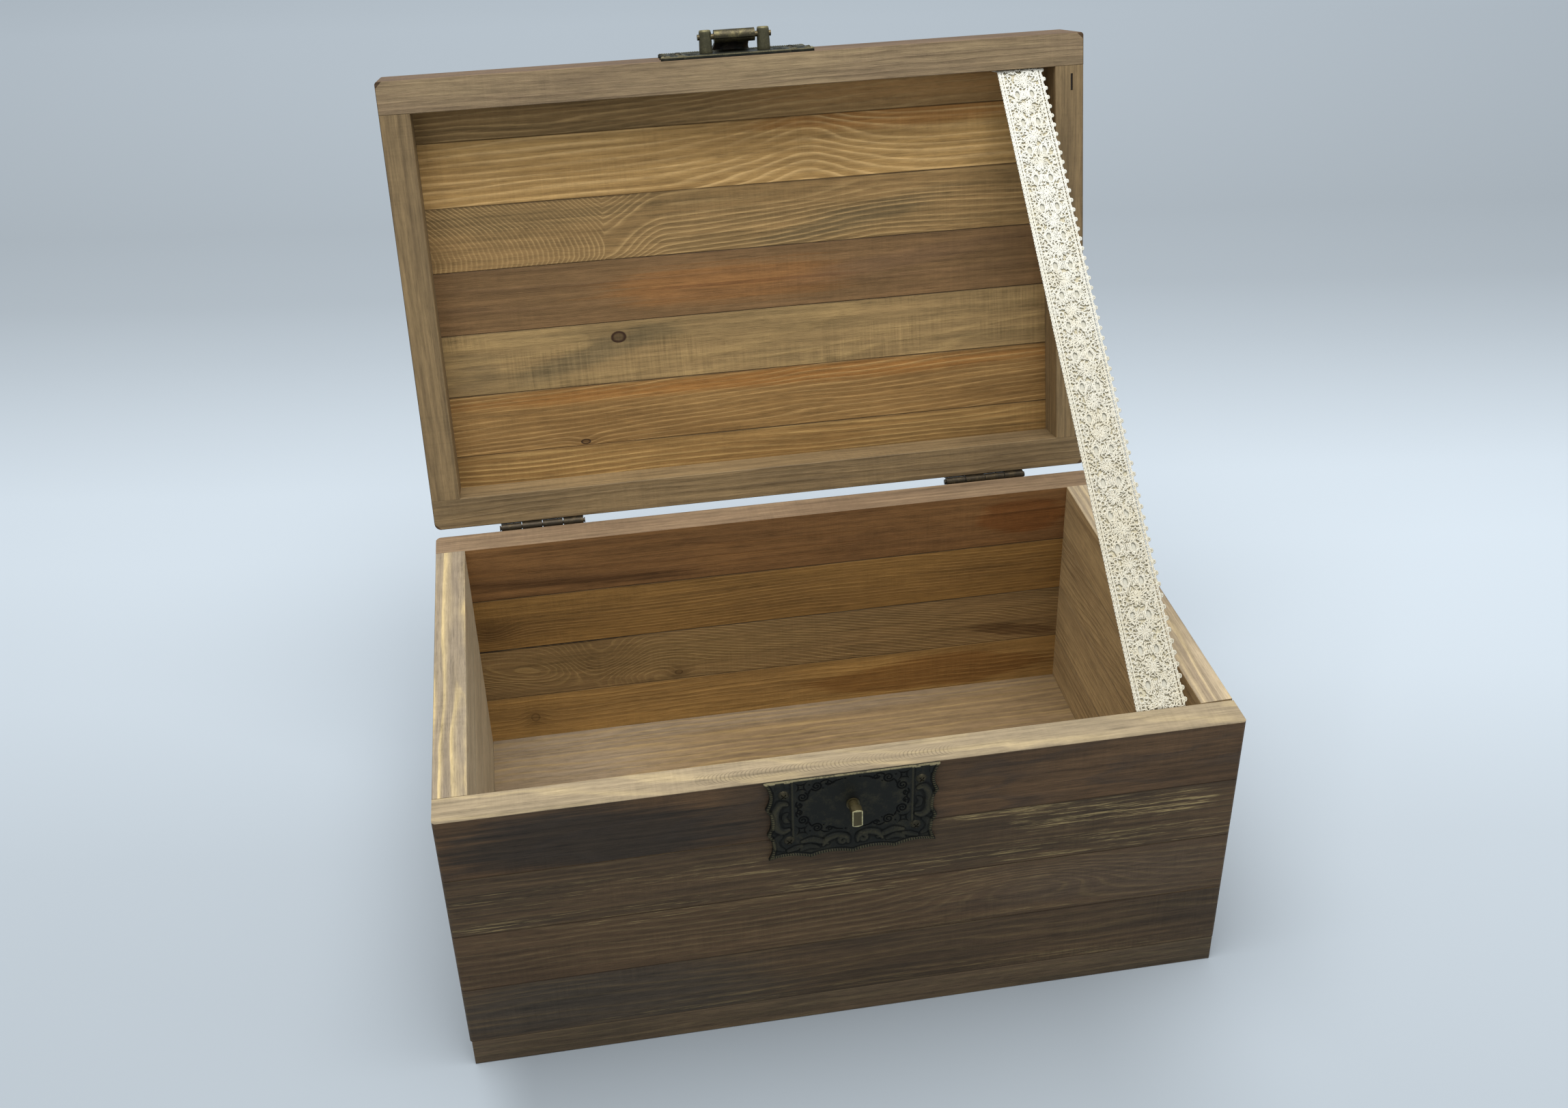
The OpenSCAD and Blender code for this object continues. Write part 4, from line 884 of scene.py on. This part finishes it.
# cords along it: across, swing, turns in a repeat, shift of the turn, step
laceCords = [(-0.05, 0.36, 5, 0.0, 0.6), (0.55, 0.34, 4, 0.3, 0.65), (1.6, 0.26, 4, 0.0, 0.6),
             (17.0, 0.3, 6, 0.0, 0.5), (18.4, 0.34, 3, 0.0, 0.6)]
inner = -halfDepth + boxShape["wall"] + lace["off"]
lowEnd, highEnd = rimTop - lace["drop"], rimTop + lace["rise"]
route = [Vector((inner, lowEnd - lace["tab"])), Vector((inner, lowEnd)),
         Vector(opened(inner, highEnd)), Vector(opened(inner, highEnd + lace["tab"]))]
runs = [(q - p).length for p, q in zip(route, route[1:])]
laceLong = sum(runs)
headings = [(q - p).normalized() for p, q in zip(route, route[1:])]
bends = [runs[0], runs[0] + runs[1]]


def onRibbon(across, along, lift):
    # flat lace to its place between box and lid; the sharp turns are eased
    along = min(max(along, 0.0), laceLong)
    run = 0 if along < bends[0] else 1 if along < bends[1] else 2
    spot = route[run] + headings[run] * (along - (0.0, bends[0], bends[1])[run])
    heading = headings[run]
    for bend, before, after in ((bends[0], 0, 1), (bends[1], 1, 2)):
        if abs(along - bend) < 1.5:
            heading = headings[before].lerp(headings[after], (along - bend + 1.5) / 3.0).normalized()
    if run != 1:
        lift = min(lift, 0.3)
    return lace["left"] + across, spot.x - heading.y * lift, spot.y + heading.x * lift


def cord(base, swing, turns, phase, step):
    turn = lace["repeat"] / turns
    angles = [2 * math.pi * i * step / turn + phase for i in range(int(laceLong / step))]
    return [(base + swing * math.sin(t), i * step, 0.12 + 0.17 * math.cos(t)) for i, t in enumerate(angles)]


def ring(u, s, across, along, wraps, points):
    # a thread wound round a hole
    angles = [2 * math.pi * wraps * i / points + u for i in range(points + 1)]
    return [(u + across * (1 + 0.16 * i / points) * math.cos(t),
             s + along * (1 + 0.1 * i / points) * math.sin(t), 0.16 + 0.14 * math.sin(2.5 * t))
            for i, t in enumerate(angles)]


def twist(a, b, count=3, apart=0.3):
    # two threads that cross on their way from a to b
    pair = []
    for way in (-1, 1):
        offsets = [way * apart * math.cos(math.pi * i * 1.5 / count) for i in range(count + 1)]
        pair.append([(a[0] + (b[0] - a[0]) * i / count + offset,
                      a[1] + (b[1] - a[1]) * i / count + offset * 0.6, 0.2 + 0.12 * way)
                     for i, offset in enumerate(offsets)])
    return pair


def edging(start, dice):
    # small loops along the right edge, and short bars across the cords
    threads = []
    for i in range(3):
        s = start + (i + 0.5) * lace["repeat"] / 3
        threads += [ring(19.15, s, 0.62, 0.75, 1.6, 14), ring(19.0, s + 0.1, 0.28, 0.34, 1.0, 6)]
    for i in range(6):
        s = start + i * lace["repeat"] / 6 + dice.uniform(-0.2, 0.2)
        threads += [[(15.6, s - 0.6, 0.1), (17.2, s, 0.4), (18.7, s + 0.3, 0.15)],
                    [(0.9, s + 0.3, 0.2), (-0.35, s, 0.35), (-0.3, s + 0.7, 0.2), (0.9, s + 0.5, 0.1)],
                    [(2.0, s + 0.2, 0.1), (2.8, s + 0.5, 0.35), (3.3, s - 0.3, 0.1)]]
    return threads


def flower(start, dice):
    # the petals, and the strands that run on to the next flower
    threads = []
    middle, centre = lace["middle"], start + lace["repeat"] / 2
    for petal in range(lace["petals"]):
        angle = 2 * math.pi * (petal + 0.5) / lace["petals"] + dice.uniform(-0.1, 0.1)
        reach = lace["petal"] + dice.uniform(-0.4, 0.4)
        threads.append([(middle + r * math.cos(angle + turn), centre + r * math.sin(angle + turn), lift)
                        for r, turn, lift in ((0.4, -0.4, 0.2), (1.4, -0.2, 0.42), (reach - 0.2, -0.1, 0.3),
                                              (reach, 0.06, 0.15), (2.4, 0.22, 0.4), (0.6, 0.35, 0.2))])
    for u in (-1.1, -0.4, 0.4, 1.1):
        threads.append([(middle + u, start - 1.7, 0.1), (middle + u + 0.2, start - 0.6, 0.4),
                        (middle + u - 0.1, start + 0.6, 0.38), (middle + u, start + 1.8, 0.1)])
    return threads


def eyelets(start):
    # the two eyelets between flowers in their diamonds of twisted threads, and the side holes
    threads = []
    aside, wide, high = lace["eyelet"]
    for u in (lace["middle"] - aside, lace["middle"] + aside):
        threads.append(ring(u, start, wide, high, 2.0, 24))
        corners = [(u, start - high - 1.7), (u + wide + 1.0, start), (u, start + high + 1.7),
                   (u - wide - 1.0, start)]
        for a, b in zip(corners, corners[1:] + corners[:1]):
            threads += twist(a, b)
    return threads + [ring(u, start + s, 0.72, 0.95, 1.5, 14) for u, s in lace["holes"]]


def stitches(start, dice):
    # thick stitches everywhere but in the holes
    threads = []
    repeat, middle = lace["repeat"], lace["middle"]
    aside, wide, high = lace["eyelet"]
    clear = [(middle - aside, 0.0, wide, high), (middle + aside, 0.0, wide, high)] \
        + [(u, s, 0.6, 0.8) for u, s in lace["holes"]]
    for i in range(lace["stitches"]):
        u, s = dice.uniform(2.3, 16.9), dice.uniform(0.0, repeat)
        gaps = [((u - cu) / cw) ** 2 + (((s - cs + repeat / 2) % repeat - repeat / 2) / ch) ** 2
                for cu, cs, cw, ch in clear]
        angle = math.atan2(s - repeat / 2, u - middle) + dice.gauss(0.0, 0.6)
        angle += 1.57 if i % 3 == 0 else 0.0
        half, bend = dice.uniform(0.5, 0.9), dice.uniform(-0.6, 0.6)
        up = dice.uniform(0.2, 0.6)
        if min(gaps) < 1.0:
            continue
        ux, us = half * math.cos(angle), half * math.sin(angle)
        threads.append([(u - ux, start + s - us, 0.05), (u - us * bend, start + s + ux * bend, up),
                        (u + ux, start + s + us, 0.05)])
    return threads


def laceThreads():
    dice = random.Random(5)
    threads = [cord(base, swing, turns, phase + shift, step)
               for phase in (0.0, math.pi) for base, swing, turns, shift, step in laceCords]
    for k in range(-1, int(laceLong / lace["repeat"]) + 2):
        start = k * lace["repeat"] + lace["start"]
        threads += edging(start, dice) + flower(start, dice) + eyelets(start) + stitches(start, dice)
    cut = [[point for point in thread if 0.0 <= point[1] <= laceLong] for thread in threads]
    return [thread for thread in cut if len(thread) >= 3]


def laceCotton():
    brush = newBrush("lace-cotton")
    spot = brush.inBox()
    fuzz = brush.noise(spot, (2.2, 2.2, 2.2), 3.0, 0.6)
    tint = brush.noise(spot, (0.12, 0.12, 0.12), 2.0, 0.5)
    colour = brush.mix(brush.step(fuzz, 0.35, 0.65), paint(192, 184, 162), paint(218, 215, 201))
    paler = brush.step(brush.axes(spot)[2], 150.0, 290.0, 0.0, 0.7)
    colour = brush.mix(paler, colour, paint(234, 234, 226))
    colour = brush.mix(brush.step(tint, 0.4, 0.7) * 0.25, colour, paint(208, 197, 165))
    return brush.finish({"Base Color": colour, "Roughness": 0.85, "Specular IOR Level": 0.25}, fuzz * 0.15)


def laceLining():
    # the smooth lining, which shows bare in the eyelets; it is darker than the cotton, partly its own
    # colour and partly painted shade from the threads around it
    brush = newBrush("lace-backing")
    x, y, z = brush.axes(brush.node("ShaderNodeUVMap", {"uv_map": "flat"}))
    x, y = x * lace["width"], y * laceLong
    fine = brush.noise(brush.point(x, y, 3.0), (1.8, 1.8, 1.0), 2.0, 0.5)
    aside, wide, high = lace["eyelet"]
    inRepeat = ((y - lace["start"]) * (1.0 / lace["repeat"]) + 0.5).maths("FRACT") - 0.5
    fromEyelet = inRepeat * lace["repeat"]
    eyelet = ((abs(x - lace["middle"]) - aside) * (1.0 / wide)) ** 2.0 + (fromEyelet * (1.0 / high)) ** 2.0
    bare = brush.step(eyelet, 1.3, 0.8)
    colour = brush.mix(brush.step(fine, 0.35, 0.65), paint(186, 177, 148), paint(204, 197, 173))
    # painted shade: the bare lining in the eyelets is greyed below the cotton's cream, as if in the
    # threads' shadow
    colour = brush.mix(bare, colour, paint(190, 187, 172))
    return brush.finish({"Base Color": colour, "Roughness": 0.9, "Specular IOR Level": 0.15},
                        fine * (1.0 - bare) * 0.3)


def laceBand():
    # the threads are drawn flat as one curve, made a mesh, and laid on the ribbon's route
    curve = bpy.data.curves.new("lace-threads", "CURVE")
    curve.dimensions = "3D"
    curve.bevel_depth = lace["thread"]
    curve.bevel_resolution = 0
    curve.use_fill_caps = True
    for thread in laceThreads():
        spline = curve.splines.new("POLY")
        spline.points.add(len(thread) - 1)
        for point, spot in zip(spline.points, thread):
            point.co = (*spot, 1.0)
    flat = addToScene(bpy.data.objects.new("lace-flat", curve))
    bpy.context.view_layer.update()
    flatMesh = bpy.data.meshes.new_from_object(flat.evaluated_get(bpy.context.evaluated_depsgraph_get()))
    bpy.data.objects.remove(flat)
    threads = bmesh.new()
    threads.from_mesh(flatMesh)
    for vertex in threads.verts:
        vertex.co = onRibbon(*vertex.co)
    bmesh.ops.recalc_face_normals(threads, faces=threads.faces)
    return piece("lace-band", threads, laceCotton(), node="lace_ribbon")


def laceBacking():
    low, high = lace["backing"]
    mesh = bmesh.new()
    bmesh.ops.create_grid(mesh, x_segments=8, y_segments=120, size=0.5)
    flatMap = mesh.loops.layers.uv.new("flat")
    for facet in mesh.faces:
        for loop in facet.loops:
            u, s = loop.vert.co.x + 0.5, loop.vert.co.y + 0.5
            loop[flatMap].uv = ((low + u * (high - low)) / lace["width"], s)
    for vertex in mesh.verts:
        u, s = vertex.co.x + 0.5, vertex.co.y + 0.5
        vertex.co = onRibbon(low + u * (high - low), s * laceLong, -0.3)
    bmesh.ops.recalc_face_normals(mesh, faces=mesh.faces)
    return piece("lace-backing", mesh, laceLining())


band, backing = laceBand(), laceBacking()
print("lace triangles", sum(len(facet.vertices) - 2 for facet in band.data.polygons))
for ribbon in (band, backing):
    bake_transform(ribbon)
print("lace done")


# the paper under and behind the box, in metres: back is the way it runs, then its brightness along that
# way, which is painted light falling off with distance; shade is how deep the painted shadow in front of
# the box is
paper = {"size": 4.0, "tint": (1.0, 1.117, 1.218), "back": (0.1495, 0.989), "shade": 0.26,
         "paintedFalloff": [(0.125, 0.39), (0.2, 0.43), (0.26, 0.5), (0.325, 0.54), (0.365, 0.54), (0.41, 0.49),
                  (0.46, 0.43), (0.51, 0.385), (0.585, 0.385), (0.8, 0.52), (0.9, 0.58), (1.0, 0.6)]}


def paperLook():
    brush = newBrush("paper")
    x, y, z = brush.axes(brush.node("ShaderNodeTexCoord", output=3))
    back = y * paper["back"][1] + x * paper["back"][0]
    # painted light: the paper's brightness along the way back copies the light falling off
    paintedFalloff = brush.node("ShaderNodeValToRGB", {"stops": paper["paintedFalloff"]}, {0: back * 0.5 + 0.2})
    # painted light: near the box the paper grows brighter to the right, and far back it stays level
    level = paintedFalloff * (x * brush.step(back, 0.05, 0.6, 0.15, -0.01) + 1.0)
    # a soft painted shadow lies in front of the box, darkening the paper there
    shade = brush.step(x, -0.15, -0.125) * brush.step(x, 0.17, 0.08) \
        * brush.step(y, -0.24, -0.11) * brush.step(y, 0.1, 0.0)
    level = level * (1.0 - shade * paper["shade"])
    colour = brush.node("ShaderNodeVectorMath", {"operation": "MULTIPLY"}, {0: level, 1: paper["tint"]})
    return brush.finish({"Base Color": colour, "Roughness": 0.9, "Specular IOR Level": 0.1})


floorMesh = bmesh.new()
bmesh.ops.create_grid(floorMesh, x_segments=1, y_segments=1, size=paper["size"])
floorData = bpy.data.meshes.new("floor")
floorMesh.to_mesh(floorData)
floorMesh.free()
floorData.materials.append(paperLook())
addToScene(bpy.data.objects.new("floor", floorData))

# the wall behind is only seen and mirrored; it lights nothing
studio = {"light": (236, 240, 244), "strength": 0.5, "wall": (178, 188, 195)}
world = bpy.data.worlds.new("studio")
bpy.context.scene.world = world
brush = Brush(world)
seen, mirrored, through = [brush.node("ShaderNodeLightPath", output=ray)
                           for ray in ("Is Camera Ray", "Is Glossy Ray", "Is Transmission Ray")]
lit = brush.node("ShaderNodeBackground", None, {0: paint(*studio["light"]), 1: studio["strength"]})
shown = brush.node("ShaderNodeBackground", None, {0: paint(*studio["wall"])})
both = brush.node("ShaderNodeMixShader", None,
                  {0: seen.maths("MAXIMUM", mirrored).maths("MAXIMUM", through), 1: lit, 2: shown})
brush.node("ShaderNodeOutputWorld", None, {0: both})

lamps = {
    "top": {"power": 34.0, "at": (-0.10, -0.15, 1.70), "aim": (0.0, 0.0, 0.0), "size": (1.6, 1.2)},
    "front": {"power": 2.6, "at": (-0.9, -1.7, 1.1), "aim": (0.0, 0.0, 0.12), "size": (0.9, 0.9)},
    "side": {"power": 3.0, "at": (1.6, -0.5, 0.9), "aim": (0.0, 0.0, 0.15), "size": (0.8, 0.8)},
}
for name, plan in lamps.items():
    data = bpy.data.lights.new(name, "AREA")
    data.shape = "RECTANGLE"
    data.size, data.size_y = plan["size"]
    data.energy = plan["power"]
    lamp = addToScene(bpy.data.objects.new(name, data))
    lamp.location = plan["at"]
    lamp.rotation_euler = (Vector(plan["at"]) - Vector(plan["aim"])).to_track_quat("Z", "Y").to_euler()

view = {"at": (-0.09214, -0.55705, 0.51351), "ahead": (0.1263, 0.8353, -0.5351),
        "right": (0.9862, -0.1642, -0.0236), "lens": 38.49}
ahead = Vector(view["ahead"]).normalized()
right = Vector(view["right"])
right = (right - ahead * right.dot(ahead)).normalized()
cameraData = bpy.data.cameras.new("camera")
cameraData.lens = view["lens"]
cameraData.sensor_width = 36.0
cameraData.sensor_fit = "HORIZONTAL"
cameraData.clip_start = 0.01
camera = addToScene(bpy.data.objects.new("camera", cameraData))
turn = Matrix((right, right.cross(ahead), -ahead)).transposed().to_4x4()
camera.matrix_world = Matrix.Translation(Vector(view["at"])) @ turn
bpy.context.scene.camera = camera
bpy.context.scene.view_settings.view_transform = "Standard"
print("stage done")
